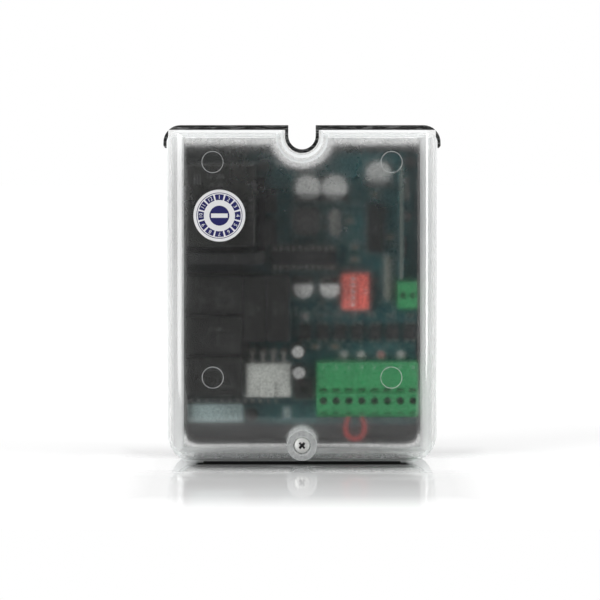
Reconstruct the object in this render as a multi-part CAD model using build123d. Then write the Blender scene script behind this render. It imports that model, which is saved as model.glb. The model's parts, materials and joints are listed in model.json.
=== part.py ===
from build123d import *
from math import radians, tan
import os

# A control box for a gate motor: a clear moulded cover stands over a black carrier tray that
# holds a populated circuit board.
# Millimetres. X runs right, Y runs back from the front face, Z runs up from the floor.
# The origin is the middle of the footprint.

# Small round parts are prisms with few sides
small_round_sides = 12

# Cover shell
cover_width = 107.6
cover_height = 130.8
cover_depth = 45.0
cover_wall = 2.0
draft_angle = 1.0
top_corner_radius = 5.0
bottom_corner_radius = 12.5
side_edge_radius = 9.0
bottom_edge_radius = 8.6
top_edge_radius = 2.6
inside_edge_radius = 0.6
foot_width = 1.5
foot_height = 0.8

# Cable notch in the middle of the cover's top
notch_radius = 8.3
notch_drop = 10.8
rim_opening_radius = 5.5
rim_opening_drop = 7.8

# Rim round the cover's rear edge
rim_proud = 1.9
rim_thickness = 2.2
rim_end_drop = 7.4
rim_end_radius = 1.4

# Locating ribs inside the cover
rib_thickness = 1.4
rib_length = 11.0
side_rib_heights = (30.0, 62.0, 94.0)
cross_rib_places = (-34.0, -20.0, 20.0, 34.0)

# Screw that holds the cover to the tray
screw_height = 7.3
screw_boss_diameter = 11.7
screw_head_diameter = 6.2
screw_head_height = 2.4
screw_head_recess = 1.0
screw_shank_diameter = 3.9
screw_end_gap = 3.6
screw_slot_width = 1.1
screw_slot_length = 3.8
head_clearance = 0.7
shank_clearance = 0.25
thread_clearance = 0.05

# Round sticker on the cover
sticker_diameter = 20.3
sticker_thickness = 0.15
sticker_sides = 48
sticker_x = -32.3
sticker_height = 97.5

# Carrier tray
tray_wall = 1.5
tray_floor = 2.2
tray_bottom_height = 5.0
tray_side_gap = 3.1
tray_top_gap = 3.6
tray_rim_over_board = 4.0
tray_bottom_corner_radius = 8.0
tray_top_corner_radius = 2.5
tray_notch_clearance = 2.2
board_side_clearance = 0.4
wire_trough = 6.4
mount_spacing_x = 76.0
mount_spacing_z = 64.0
mount_centre_height = 68.0
mount_hole_diameter = 4.4
tray_boss_diameter = 9.0
tray_boss_length = 15.6
clip_width = 8.0
clip_thickness = 1.2
clip_hook = 0.9
clip_heights = (43.6, 100.0)

# Circuit board
board_thickness = 1.6
board_standoff = 6.2
board_top_gap = 2.0
board_corner_radius = 1.0
board_notch_clearance = 0.3
post_diameter = 6.4
board_screw_diameter = 2.9
board_screw_head = 5.4
board_screw_head_height = 1.9
board_screw_length = 7.0
board_screw_places = ((-20.4, 16.9), (-15.2, 117.0), (42.9, 118.0))
seat_gap = 0.1

# Relays
power_relay_width = 26.8
power_relay_length = 32.4
power_relay_height = 28.0
power_relay_x = -31.8
power_relay_z = 101.2
cube_relay_width = 21.8
cube_relay_length = 15.6
cube_relay_height = 17.0
cube_relay_pitch = 16.0
cube_relay_x = -34.6
cube_relay_top_z = 65.5
slim_relay_width = 9.2
slim_relay_length = 26.4
slim_relay_height = 15.6
slim_relay_pitch = 9.5
slim_relay_x = -18.9
slim_relay_z = 60.2
relay_edge = 0.6
relay_base_height = 1.0
relay_base_inset = 0.5

# Rectifier, heat sink and power transistors
rectifier_width = 30.0
rectifier_thickness = 4.6
rectifier_height = 20.0
rectifier_x = -30.0
rectifier_z = 80.2
lead_height = 3.0
lead_width = 1.2
lead_thickness = 0.6
sink_thickness = 3.2
sink_length = 29.0
sink_height = 23.0
sink_x = -16.1
sink_z = 97.8
sink_groove_width = 1.2
sink_groove_depth = 0.9
sink_grooves = 5
transistor_width = 10.0
transistor_body = 3.2
transistor_tab = 1.3
transistor_height = 15.4
transistor_tab_width = 9.0
transistor_heights = (90.4, 103.0)

# Capacitors
filter_can_diameter = 10.0
output_can_diameter = 8.0
can_height = 10.2
can_base_height = 1.6
can_base_gap = 0.3
filter_places = ((2.2, 107.7), (13.1, 107.7), (30.6, 113.3))
output_places = ((0.4, 68.0), (11.1, 68.0))
timing_diameter = 5.8
timing_height = 18.0
timing_places = ((-1.6, 43.1), (-1.2, 34.8))

# Chips, coil and crystal
inductor_size = 11.0
inductor_height = 6.0
inductor_core_diameter = 8.4
inductor_x = 1.6
inductor_z = 94.5
socket_length = 26.0
socket_width = 10.2
socket_height = 4.2
socket_x = 0.6
socket_z = 79.9
chip_height = 3.4
chip_width = 6.4
chip_end_gap = 0.4
chip_lead_pitch = 2.54
logic_length = 19.8
logic_x = 29.1
logic_z = 91.7
crystal_length = 11.3
crystal_width = 4.6
crystal_height = 3.6
crystal_x = 13.3
crystal_z = 93.8
resistor_pack_length = 18.0
resistor_pack_thickness = 2.4
resistor_pack_height = 5.2
resistor_pack_x = 34.2
resistor_pack_z = 71.8
opto_pitch = 7.0
opto_count = 7
opto_first_x = 1.2
opto_z = 50.2
opto_width = 4.6
opto_length = 5.8
opto_height = 3.5
lead_run = 0.9
lamp_diameter = 3.0
lamp_height = 4.4
lamp_places = ((16.8, 40.9), (23.6, 40.9), (31.6, 40.9), (39.6, 40.9), (1.2, 56.4))

# Small surface parts
resistor_length = 2.0
resistor_width = 1.25
resistor_height = 0.6
resistor_places = (
    (8.0, 56.6), (13.6, 56.6), (20.0, 56.6), (28.0, 56.6), (35.2, 56.6), (43.2, 56.6),
    (8.9, 95.8), (8.9, 92.0), (18.6, 101.5), (22.0, 101.5), (8.0, 61.5), (36.4, 84.5),
)
chip_cap_length = 3.2
chip_cap_width = 1.6
chip_cap_height = 1.4
chip_cap_places = (
    (5.4, 44.2), (13.2, 44.2), (29.0, 105.0), (21.0, 79.2), (21.0, 84.0), (19.2, 94.4), (35.2, 88.0),
)

# Radio receiver card that stands on edge
card_length = 44.6
card_height = 20.0
card_thickness = 1.6
card_x = 39.2
card_z = 94.4
card_header_height = 2.5
card_header_width = 2.5
card_pin_count = 12
card_pin_pitch = 2.54
card_can_size = (2.2, 9.0, 6.0)
card_coil_diameter = 4.0
card_coil_length = 3.2
card_chip_size = (1.5, 8.6, 5.0)

# Eight-pole pluggable terminal
pole_pitch = 5.08
pole_count = 8
block_end_wall = 0.15
block_x = 26.3
header_top_z = 38.5
header_depth = 12.2
header_height = 12.5
header_wall = 1.1
plug_depth = 9.2
plug_height = 15.0
plug_foot_gap = 1.2
tongue_depth = 8.4
tongue_height = 7.4
tongue_clearance = 0.2
clamp_hole_diameter = 3.0
clamp_hole_setback = 6.4
clamp_hole_depth = 6.8
clamp_screw_sunk = 1.6
clamp_screw_clearance = 0.08
clamp_slot_width = 0.6
clamp_slot_depth = 0.7
wire_entry_size = 3.2
wire_entry_depth = 6.5
wire_entry_height = 6.2
probe_slot_length = 1.8
probe_slot_width = 0.7
probe_slot_depth = 0.8
probe_slot_setback = 1.9
latch_slot_width = 2.4
latch_slot_length = 1.1
latch_slot_depth = 1.0
contact_size = 1.0
contact_length = 7.0
contact_clearance = 0.15

# Wire link between two poles
link_diameter = 1.9
link_first_pole = 2
link_half_width = 3.3
link_drop = 10.2
link_shoulder = 4.2
link_corner = 2.0

# Two-pole aerial terminal
aerial_pitch = 3.81
aerial_poles = 2
aerial_width = 8.3
aerial_depth = 11.0
aerial_height = 10.0
aerial_x = 42.2
aerial_z = 65.1
aerial_screw_diameter = 2.4
aerial_entry_size = 2.2

# White four-way power connector
power_pitch = 4.2
power_ways = 4
power_width = 18.2
power_depth = 13.2
power_height = 14.0
power_wall = 1.2
power_mouth_depth = 10.0
power_x = -13.5
power_z = 31.5
power_pin_size = 1.1
power_pin_reach = 4.6
power_pin_height = 8.0
power_latch_width = 5.0
power_latch_depth = 6.0
power_latch_height = 1.3

# Switch block
switch_ways = 5
switch_pitch = 2.54
switch_width = 10.8
switch_end = 0.8
switch_height = 5.5
switch_x = 21.3
switch_z = 66.4
slot_width = 1.5
slot_depth = 1.3
slider_length = 1.6
slider_travel = 1.8
slider_side_clearance = 0.15
slider_end_clearance = 0.1
slider_proud = 0.5

# Push button
button_size = 7.3
button_height = 3.6
button_x = 0.6
button_z = 27.1
plunger_diameter = 3.5
plunger_proud = 1.4
plunger_clearance = 0.08
plunger_bore_depth = 1.6
plunger_travel = 0.3

# Places that follow from the sizes above
front_y = -(cover_depth - sticker_thickness) / 2
rear_y = front_y + cover_depth
draft_run = cover_depth * tan(radians(draft_angle))
floor_y = rear_y - tray_floor
board_y = floor_y - board_standoff - board_thickness
tray_half = cover_width / 2 - cover_wall - tray_side_gap
tray_top = cover_height - cover_wall - tray_top_gap
board_half = tray_half - tray_wall - board_side_clearance
board_bottom = tray_bottom_height + tray_wall + wire_trough
board_top = tray_top - tray_wall - board_top_gap
notch_centre_z = cover_height - notch_drop + notch_radius
rim_end_height = cover_height - rim_end_drop
tray_notch_radius = notch_radius + cover_wall + tray_notch_clearance
board_notch_radius = tray_notch_radius + tray_wall + board_notch_clearance
boss_end_y = rear_y - tray_boss_length
screw_seat_y = front_y + screw_head_recess + screw_head_height
screw_end_y = rear_y - screw_end_gap

board_frame = Plane(origin=(0, board_y, 0), x_dir=(1, 0, 0), z_dir=(0, -1, 0)).location


def front_plane(y):
    """A drawing plane that faces the viewer at depth y, with sketch x and y as X and Z."""
    return Plane(origin=(0, y, 0), x_dir=(1, 0, 0), z_dir=(0, -1, 0))


def on_board(shape, x, z):
    """Stand a piece on the board's front face."""
    return board_frame * Pos(x, z, 0) * shape


def block(width, length, height, bottom=0.0):
    """A block that stands on its local base plane."""
    return Pos(0, 0, bottom) * Box(width, length, height, align=(Align.CENTER, Align.CENTER, Align.MIN))


def post(diameter, height, bottom=0.0):
    """A round post that stands on its local base plane."""
    return Pos(0, 0, bottom) * Cylinder(
        diameter / 2, height, align=(Align.CENTER, Align.CENTER, Align.MIN)
    )


def peg(diameter, height, bottom=0.0):
    """A small round part, its corners on the circle of its diameter."""
    return Pos(0, 0, bottom) * extrude(RegularPolygon(diameter / 2, small_round_sides), amount=height)


def bore_outline(diameter):
    """The outline of a hole for a small round part, its flats on the circle of its diameter."""
    return RegularPolygon(diameter / 2, small_round_sides, major_radius=False)


def bore(diameter, height, bottom=0.0):
    return Pos(0, 0, bottom) * extrude(bore_outline(diameter), amount=height)


def upright_edges(shape):
    return shape.edges().filter_by(Axis.Z)


def top_edges(shape):
    return shape.edges().group_by(Axis.Z)[-1]


def panel_outline(half_width, bottom, top, bottom_radius, top_radius):
    """A closed outline with two large bottom corners and two smaller top corners."""
    left_low = (-half_width, bottom + bottom_radius)
    left_high = (-half_width, top - top_radius)
    top_left = (-half_width + top_radius, top)
    top_right = (half_width - top_radius, top)
    right_high = (half_width, top - top_radius)
    right_low = (half_width, bottom + bottom_radius)
    bottom_right = (half_width - bottom_radius, bottom)
    bottom_left = (-half_width + bottom_radius, bottom)
    lines = [
        Line(left_low, left_high),
        RadiusArc(left_high, top_left, top_radius),
        Line(top_left, top_right),
        RadiusArc(top_right, right_high, top_radius),
        Line(right_high, right_low),
        RadiusArc(right_low, bottom_right, bottom_radius),
        Line(bottom_right, bottom_left),
        RadiusArc(bottom_left, left_low, bottom_radius),
    ]
    return make_face(Curve() + lines)


def cover_form(inset):
    """The drafted form of the cover, moved inwards by inset on every face but the rear."""
    rear_outline = panel_outline(
        cover_width / 2 - inset,
        inset - draft_run,
        cover_height - inset,
        bottom_corner_radius + draft_run - inset,
        top_corner_radius - inset,
    )
    drafted = extrude(
        front_plane(rear_y) * rear_outline, amount=cover_depth - inset, taper=draft_angle
    )
    front_half = cover_width / 2 - draft_run - inset + inset * tan(radians(draft_angle))
    rear_half = cover_width / 2 - inset
    front = front_y + inset
    plan = Polyline(
        (-rear_half, rear_y), (rear_half, rear_y), (front_half, front), (-front_half, front), close=True
    )
    plan_face = make_face(plan)
    plan_face = fillet(plan_face.vertices().sort_by(Axis.Y)[:2], side_edge_radius - inset)
    upright = Pos(0, 0, -cover_height / 2) * extrude(plan_face, amount=cover_height * 2)
    front_top = cover_height - draft_run - inset + inset * tan(radians(draft_angle))
    rear_top = cover_height - inset
    side = Polyline(
        (rear_y, inset), (rear_y, rear_top), (front, front_top), (front, inset), close=True
    )
    side_plane = Plane(origin=(-cover_width, 0, 0), x_dir=(0, 1, 0), z_dir=(1, 0, 0))
    side_face = make_face(side)
    front_points = side_face.vertices().sort_by(Axis.X)[:2].sort_by(Axis.Y)
    side_face = fillet(front_points[0], bottom_edge_radius - inset)
    front_points = side_face.vertices().sort_by(Axis.X).group_by(Axis.X)[0].sort_by(Axis.Y)
    side_face = fillet(front_points[-1], max(top_edge_radius - inset, inside_edge_radius))
    across = extrude(side_plane * side_face, amount=cover_width * 2)
    return drafted & upright & across


def notch_form(grow):
    """The tapering channel through the cover's top, made larger by grow."""
    reach = cover_height
    channel = Pos(0, notch_centre_z) * (
        Circle(notch_radius + grow) + Pos(0, reach / 2) * Rectangle(2 * (notch_radius + grow), reach)
    )
    start = front_plane(front_y) * channel
    return extrude(start, amount=-cover_depth, taper=draft_angle)


def upright_slot(centre_z, radius, reach):
    """A round-bottomed slot outline that runs up past the top."""
    return Pos(0, centre_z) * (Circle(radius) + Pos(0, reach / 2) * Rectangle(2 * radius, reach))


def rim_band():
    """The rim that stands proud round the rear of the cover's top and narrows the cable notch."""
    outer = panel_outline(
        cover_width / 2 + rim_proud,
        0,
        cover_height + rim_proud,
        bottom_corner_radius,
        top_corner_radius + rim_proud,
    )
    ends = Pos(0, rim_end_height + cover_height / 2) * Rectangle(cover_width * 2, cover_height)
    band = outer & ends
    low_points = band.vertices().group_by(Axis.Y)[0]
    band = fillet(low_points, rim_end_radius)
    rear_notch = notch_radius - draft_run
    band = band + (upright_slot(notch_centre_z, rear_notch + cover_wall / 2, cover_height) & outer)
    opening_z = cover_height - rim_opening_drop + rim_opening_radius
    band = band - upright_slot(opening_z, rim_opening_radius, cover_height)
    return extrude(front_plane(rear_y) * band, amount=rim_thickness)


def clear_cover():
    """The clear moulded cover: drafted shell, cable notch, rear rim, screw boss and ribs."""
    cavity = cover_form(cover_wall) - notch_form(cover_wall)
    shell = cover_form(0) - notch_form(0)
    shell = shell + rim_band()
    shell = shell - cavity
    boss_length = boss_end_y - front_y
    boss = front_plane(boss_end_y) * Pos(0, screw_height, 0) * post(screw_boss_diameter, boss_length)
    shell = shell + boss
    shell += locating_ribs()
    recess_half = cover_width / 2 - draft_run - bottom_corner_radius - foot_width
    recess = Box(2 * recess_half, cover_depth * 2, 2 * foot_height)
    shell -= recess
    bore_length = boss_length + 1.0
    screw_axis = front_plane(boss_end_y) * Pos(0, screw_height, 0)
    shell -= screw_axis * bore(screw_shank_diameter + 2 * shank_clearance, bore_length)
    seat = front_plane(screw_seat_y) * Pos(0, screw_height, 0)
    shell -= seat * post(screw_head_diameter + 2 * head_clearance, cover_depth)
    return shell


def locating_ribs():
    """Short ribs on the cover's inner walls that the tray's edges sit against."""
    ribs = []
    rib_y = rear_y - tray_floor - rib_length / 2
    wall_overlap = cover_wall / 2
    side_start = tray_half + seat_gap
    side_reach = cover_width / 2 - wall_overlap - side_start
    for side in (-1, 1):
        for height in side_rib_heights:
            centre = side * (side_start + side_reach / 2)
            ribs.append(Pos(centre, rib_y, height) * Box(side_reach, rib_length, rib_thickness))
    top_start = tray_top + seat_gap
    top_reach = cover_height - wall_overlap - top_start
    low_reach = tray_bottom_height - foot_height - wall_overlap / 4
    for x in cross_rib_places:
        ribs.append(Pos(x, rib_y, top_start + top_reach / 2) * Box(rib_thickness, rib_length, top_reach))
        low_centre = tray_bottom_height - low_reach / 2
        ribs.append(Pos(x, rib_y, low_centre) * Box(rib_thickness, rib_length, low_reach))
    inside = cover_form(wall_overlap)
    return [rib & inside for rib in ribs]


def cover_screw():
    """Cross-head screw through the cover's boss into the tray."""
    top = front_plane(screw_seat_y) * Pos(0, screw_height, 0)
    screw_length = screw_end_y - screw_seat_y
    head = post(screw_head_diameter, screw_head_height)
    for turn in (45, 135):
        slot = block(screw_slot_length, screw_slot_width, screw_head_height, screw_head_height / 2)
        head -= Rot(0, 0, turn) * slot
    shank = Pos(0, 0, -screw_length) * peg(screw_shank_diameter, screw_length)
    shank = chamfer(shank.edges().group_by(Axis.Z)[0], screw_shank_diameter * 0.3)
    return top * (head + shank)


def date_sticker():
    disc = extrude(RegularPolygon(sticker_diameter / 2, sticker_sides), amount=sticker_thickness)
    return front_plane(front_y) * Pos(sticker_x, sticker_height, 0) * disc


def tray_outline(inset):
    return panel_outline(
        tray_half - inset,
        tray_bottom_height + inset,
        tray_top - inset,
        tray_bottom_corner_radius - inset,
        tray_top_corner_radius - min(inset, tray_top_corner_radius * 0.6),
    )


def snap_clip(side, height):
    """A sprung hook that rises from the tray floor beside the board and closes over its edge."""
    arm_x = side * (board_half + board_side_clearance / 2 + clip_thickness / 2)
    hook_y = board_y - seat_gap
    arm_length = floor_y - hook_y + clip_thickness
    arm = Pos(arm_x, floor_y - arm_length / 2, height) * Box(clip_thickness, arm_length, clip_width)
    hook_x = side * (board_half + clip_thickness / 2 - clip_hook / 2)
    hook_width = clip_hook + clip_thickness
    hook = Pos(hook_x, hook_y - clip_thickness / 2, height) * Box(hook_width, clip_thickness, clip_width)
    return arm + hook


def carrier_tray():
    """The black tray: floor, rim wall, board posts, mounting holes and the cover screw's boss."""
    rim_y = board_y - tray_rim_over_board
    depth = rear_y - rim_y
    outside = tray_outline(0) - upright_slot(notch_centre_z, tray_notch_radius, cover_height)
    inner_notch = upright_slot(notch_centre_z, tray_notch_radius + tray_wall, cover_height)
    inside = tray_outline(tray_wall) - inner_notch
    tray = extrude(front_plane(rear_y) * outside, amount=depth)
    tray -= extrude(front_plane(floor_y) * inside, amount=depth)
    for x, z in board_screw_places:
        tray += front_plane(floor_y) * Pos(x, z, 0) * peg(post_diameter, board_standoff)
    ledge_width = clip_width
    for side in (-1, 1):
        for height in clip_heights:
            ledge_x = side * (board_half - clip_hook)
            ledge = block(2 * clip_hook, ledge_width, board_standoff)
            tray += front_plane(floor_y) * Pos(ledge_x, height, 0) * ledge
            tray += snap_clip(side, height)
    boss = post(tray_boss_diameter, rear_y - boss_end_y)
    tray += front_plane(rear_y) * Pos(0, screw_height, 0) * boss
    pilot = screw_shank_diameter + 2 * thread_clearance
    pilot_end = screw_end_y + seat_gap
    screw_axis = front_plane(pilot_end) * Pos(0, screw_height, 0)
    tray -= screw_axis * bore(pilot, pilot_end - boss_end_y)
    for side_x in (-1, 1):
        for side_z in (-1, 1):
            x = side_x * mount_spacing_x / 2
            z = mount_centre_height + side_z * mount_spacing_z / 2
            place = front_plane(floor_y) * Pos(x, z, 0)
            tray -= place * Pos(0, 0, -tray_floor * 2) * post(mount_hole_diameter, tray_floor * 4)
    for x, z in board_screw_places:
        pilot = board_screw_diameter + 2 * thread_clearance
        place = front_plane(floor_y) * Pos(x, z, 0)
        tray -= place * bore(pilot, board_standoff * 2)
    return tray


def board_screws():
    screws = []
    for x, z in board_screw_places:
        head = peg(board_screw_head, board_screw_head_height)
        head = chamfer(top_edges(head), board_screw_head_height * 0.4)
        shank = Pos(0, 0, -board_screw_length) * peg(board_screw_diameter, board_screw_length)
        screws.append(on_board(head + shank, x, z))
    return Compound(children=screws)


def circuit_board():
    """The board, notched round the cable channel and drilled for its screws."""
    outline = panel_outline(board_half, board_bottom, board_top, board_corner_radius, board_corner_radius)
    outline -= upright_slot(notch_centre_z, board_notch_radius, cover_height)
    for x, z in board_screw_places:
        outline -= Pos(x, z) * bore_outline(board_screw_diameter + 2 * thread_clearance)
    for side in (-1, 1):
        for height in clip_heights:
            relief = clip_thickness - board_side_clearance
            outline -= Pos(side * board_half, height) * Rectangle(2 * relief, clip_width + 2 * seat_gap)
    return extrude(front_plane(board_y + board_thickness) * outline, amount=board_thickness)


def relay(width, length, height):
    """A sealed relay: a dust cover with broken edges on a slightly smaller base."""
    case = block(width, length, height - relay_base_height, relay_base_height)
    case = chamfer(upright_edges(case) + top_edges(case), relay_edge)
    base = block(width - 2 * relay_base_inset, length - 2 * relay_base_inset, relay_base_height)
    return case + base


def power_relay():
    return on_board(
        relay(power_relay_width, power_relay_length, power_relay_height), power_relay_x, power_relay_z
    )


def cube_relay(number):
    z = cube_relay_top_z - number * cube_relay_pitch
    return on_board(relay(cube_relay_width, cube_relay_length, cube_relay_height), cube_relay_x, z)


def slim_relay(number):
    x = slim_relay_x + number * slim_relay_pitch
    return on_board(relay(slim_relay_width, slim_relay_length, slim_relay_height), x, slim_relay_z)


def bridge_rectifier():
    """A flat rectifier that stands on four leads, with one corner cut to mark its first lead."""
    body = block(rectifier_width, rectifier_thickness, rectifier_height, lead_height)
    body = chamfer(upright_edges(body), rectifier_thickness * 0.12)
    corner = Pos(rectifier_width / 2, 0, lead_height + rectifier_height) * Rot(0, 45, 0)
    body -= corner * Box(rectifier_thickness, rectifier_thickness * 2, rectifier_thickness)
    lead_step = rectifier_width / 4
    for number in range(4):
        x = (number - 1.5) * lead_step
        body += Pos(x, 0, 0) * block(lead_width, lead_thickness, lead_height)
    return on_board(body, rectifier_x, rectifier_z)


def heat_sink():
    """A grooved aluminium bar that stands on edge between the relay and the transistors."""
    bar = block(sink_thickness, sink_length, sink_height)
    step = sink_length / sink_grooves
    for number in range(sink_grooves):
        y = (number - (sink_grooves - 1) / 2) * step
        groove = block(2 * sink_groove_depth, sink_groove_width, sink_height * 2, -sink_height / 2)
        bar -= Pos(-sink_thickness / 2, y, 0) * groove
    return on_board(bar, sink_x, sink_z)


def power_transistors():
    """Tab transistors that lie against the heat sink."""
    transistors = []
    face_x = sink_x + sink_thickness / 2
    full_height = lead_height + transistor_height
    for z in transistor_heights:
        tab = Pos(transistor_tab / 2, 0, 0) * block(
            transistor_tab, transistor_width, transistor_height, lead_height
        )
        body_x = transistor_tab + transistor_body / 2
        body = Pos(body_x, 0, 0) * block(
            transistor_body, transistor_width, transistor_tab_width, lead_height
        )
        shape = tab + body
        hole = Pos(-transistor_tab, 0, full_height - transistor_tab_width / 3) * Rot(0, 90, 0)
        shape -= hole * bore(transistor_tab_width * 0.4, transistor_tab * 4)
        for number in (-1, 0, 1):
            leg = Pos(body_x, number * chip_lead_pitch, 0) * block(lead_thickness, lead_width, lead_height)
            shape += leg
        transistors.append(on_board(shape, face_x, z))
    return Compound(children=transistors)


def can_capacitor(diameter):
    """A surface-mount aluminium can on a square foot with two cut corners."""
    side = diameter + 2 * can_base_gap
    foot = block(side, side, can_base_height)
    corners = upright_edges(foot).sort_by(Axis.Y)[:2]
    foot = chamfer(corners, side * 0.18)
    return foot + post(diameter, can_height - can_base_height, can_base_height)


def filter_capacitor(number):
    x, z = filter_places[number]
    return on_board(can_capacitor(filter_can_diameter), x, z)


def output_capacitor(number):
    x, z = output_places[number]
    return on_board(can_capacitor(output_can_diameter), x, z)


def timing_capacitor(number):
    x, z = timing_places[number]
    return on_board(post(timing_diameter, timing_height), x, z)


def power_inductor():
    """A shielded coil: square shell with cut corners and a round core sunk in its top."""
    shell = block(inductor_size, inductor_size, inductor_height)
    shell = chamfer(upright_edges(shell), inductor_size * 0.16)
    core_depth = inductor_height * 0.1
    shell -= bore(inductor_core_diameter, inductor_height, inductor_height - core_depth)
    return on_board(shell, inductor_x, inductor_z)


def dual_row_chip(length, bottom, leads_down, spread):
    """A chip body along local X with a notch in one end and a row of leads on each side."""
    body = block(length, chip_width, chip_height, bottom)
    body -= Pos(-length / 2, 0, 0) * block(chip_width * 0.22, chip_width * 0.22, chip_height, bottom + chip_height * 0.7)
    count = int((length - chip_lead_pitch / 2) / chip_lead_pitch) + 1
    shoulder = spread / 2 - chip_width / 2
    lead = block(lead_width, shoulder, bottom + chip_height * 0.45 + lead_thickness - leads_down, leads_down)
    for side in (-1, 1):
        for number in range(count):
            x = (number - (count - 1) / 2) * chip_lead_pitch
            body += Pos(x, side * (chip_width + shoulder) / 2, 0) * lead
    return body


def microcontroller_socket():
    """A two-row socket frame with a window between its rows."""
    frame = block(socket_length, socket_width, socket_height)
    row = (socket_width - chip_width) / 2 + 0.7
    window = block(socket_length * 0.3, socket_width - 2 * row, socket_height * 2)
    for side in (-1, 1):
        frame -= Pos(side * socket_length * 0.22, 0, 0) * window
    return on_board(frame, socket_x, socket_z)


def microcontroller():
    chip = dual_row_chip(socket_length - 2 * chip_end_gap, socket_height, socket_height, chip_width + 1.4)
    return on_board(chip, socket_x, socket_z)


def logic_chip():
    chip = Rot(0, 0, 90) * dual_row_chip(logic_length, lead_thickness, 0, chip_width + 2 * lead_run)
    return on_board(chip, logic_x, logic_z)


def crystal():
    """A low metal can with round ends."""
    can = extrude(SlotOverall(crystal_length, crystal_width), amount=crystal_height)
    return on_board(Rot(0, 0, 90) * can, crystal_x, crystal_z)


def resistor_pack():
    body = block(resistor_pack_thickness, resistor_pack_length, resistor_pack_height)
    body = chamfer(upright_edges(body), resistor_pack_thickness * 0.3)
    return on_board(body, resistor_pack_x, resistor_pack_z)


def optocouplers():
    """A row of small isolating chips above the terminal."""
    chips = []
    for number in range(opto_count):
        body = block(opto_width, opto_length, opto_height, lead_thickness / 2)
        for side_x in (-1, 1):
            for side_y in (-1, 1):
                y = side_y * (opto_length + lead_run) / 2
                leg = block(lead_thickness, lead_run, opto_height * 0.4)
                body += Pos(side_x * chip_lead_pitch / 2, y, 0) * leg
        chips.append(on_board(body, opto_first_x + number * opto_pitch, opto_z))
    return Compound(children=chips)


def status_lamps():
    lamps = []
    for x, z in lamp_places:
        body = peg(lamp_diameter, lamp_height)
        body = chamfer(top_edges(body), lamp_diameter * 0.25)
        lamps.append(on_board(body, x, z))
    return Compound(children=lamps)


def surface_parts(places, length, width, height):
    """Small surface parts, each a body between two slightly taller end caps."""
    parts = []
    cap = length * 0.2
    for x, z in places:
        body = block(length - 2 * cap, width, height * 0.92)
        ends = [Pos(side * (length - cap) / 2, 0, 0) * block(cap, width, height) for side in (-1, 1)]
        parts.append(on_board(body + ends, x, z))
    return Compound(children=parts)


def receiver_header():
    """Pin strip that carries the receiver card on its pins."""
    strip = block(card_header_width, card_pin_count * card_pin_pitch, card_header_height)
    return on_board(strip, card_x, card_z)


def receiver_card():
    """The receiver's own small board, standing on edge on its pin strip."""
    sheet = block(card_thickness, card_length, card_height, card_header_height)
    return on_board(sheet, card_x, card_z)


def receiver_parts():
    """Filter can, coil and chip on the card's outer face."""
    face_x = card_x + card_thickness / 2
    can_x, can_y, can_z = card_can_size
    chip_x, chip_y, chip_z = card_chip_size
    middle = card_header_height + card_height / 2
    can = chamfer(Box(can_x, can_y, can_z).edges().filter_by(Axis.X), can_z * 0.15)
    coil = Rot(0, 90, 0) * peg(card_coil_diameter, card_coil_length)
    chip = Box(chip_x, chip_y, chip_z)
    parts = [
        on_board(Pos(can_x / 2, card_length * 0.3, middle) * can, face_x, card_z),
        on_board(Pos(0, card_length * 0.05, middle) * coil, face_x, card_z),
        on_board(Pos(chip_x / 2, -card_length * 0.22, middle) * chip, face_x, card_z),
    ]
    return Compound(children=parts)


def pole_offsets(count, pitch):
    return [(number - (count - 1) / 2) * pitch for number in range(count)]


block_width = pole_count * pole_pitch + 2 * block_end_wall
header_bottom_z = header_top_z - header_depth
plug_bottom_z = header_bottom_z - plug_depth
entry_end_z = plug_bottom_z + wire_entry_depth
tongue_width = block_width - 2 * header_wall - 2 * tongue_clearance


def terminal_header():
    """The fixed half: a shell open towards the plug, with a notch at each pole."""
    centre_z = header_top_z - header_depth / 2
    shell = block(block_width, header_depth, header_height)
    shell = chamfer(shell.edges().filter_by(Axis.X).group_by(Axis.Z)[-1][-1:], 0.6)
    hollow_depth = 2 * (header_depth - header_wall)
    hollow = block(block_width - 2 * header_wall, hollow_depth, tongue_height + 2 * tongue_clearance)
    hollow_bottom = wire_entry_height - tongue_height / 2 - tongue_clearance
    shell -= Pos(0, -header_depth / 2, hollow_bottom) * hollow
    for x in pole_offsets(pole_count, pole_pitch):
        slot = block(latch_slot_width, latch_slot_length * 2, latch_slot_depth * 2)
        shell -= Pos(x, -header_depth / 2, header_height - latch_slot_depth) * slot
    return on_board(shell, block_x, centre_z)


def terminal_plug():
    """The loose half: clamp holes on top, wire entries below and a tongue in the fixed half."""
    centre_z = header_bottom_z - plug_depth / 2
    body = block(block_width, plug_depth, plug_height - plug_foot_gap, plug_foot_gap)
    low_front = body.edges().filter_by(Axis.X).group_by(Axis.Y)[0].sort_by(Axis.Z)[-1:]
    body = chamfer(low_front, 0.8)
    tongue_bottom = wire_entry_height - tongue_height / 2
    tongue_y = (plug_depth + tongue_depth) / 2
    body += Pos(0, tongue_y, 0) * block(tongue_width, tongue_depth, tongue_height, tongue_bottom)
    hole_y = -plug_depth / 2 + clamp_hole_setback
    for x in pole_offsets(pole_count, pole_pitch):
        body -= Pos(x, hole_y, plug_height - clamp_hole_depth) * bore(clamp_hole_diameter, plug_height)
        probe_y = -plug_depth / 2 + probe_slot_setback
        probe = block(probe_slot_length, probe_slot_width, probe_slot_depth * 2)
        body -= Pos(x, probe_y, plug_height - probe_slot_depth) * probe
        entry = Box(wire_entry_size, wire_entry_depth * 2, wire_entry_size)
        body -= Pos(x, -plug_depth / 2, wire_entry_height) * entry
        socket_size = contact_size + 2 * contact_clearance
        socket_run = contact_length + 2 * contact_clearance
        socket = Box(socket_size, socket_run, socket_size)
        socket_y = plug_depth / 2 + tongue_depth - socket_run / 2
        body -= Pos(x, socket_y, wire_entry_height) * socket
    return on_board(body, block_x, centre_z)


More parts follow.
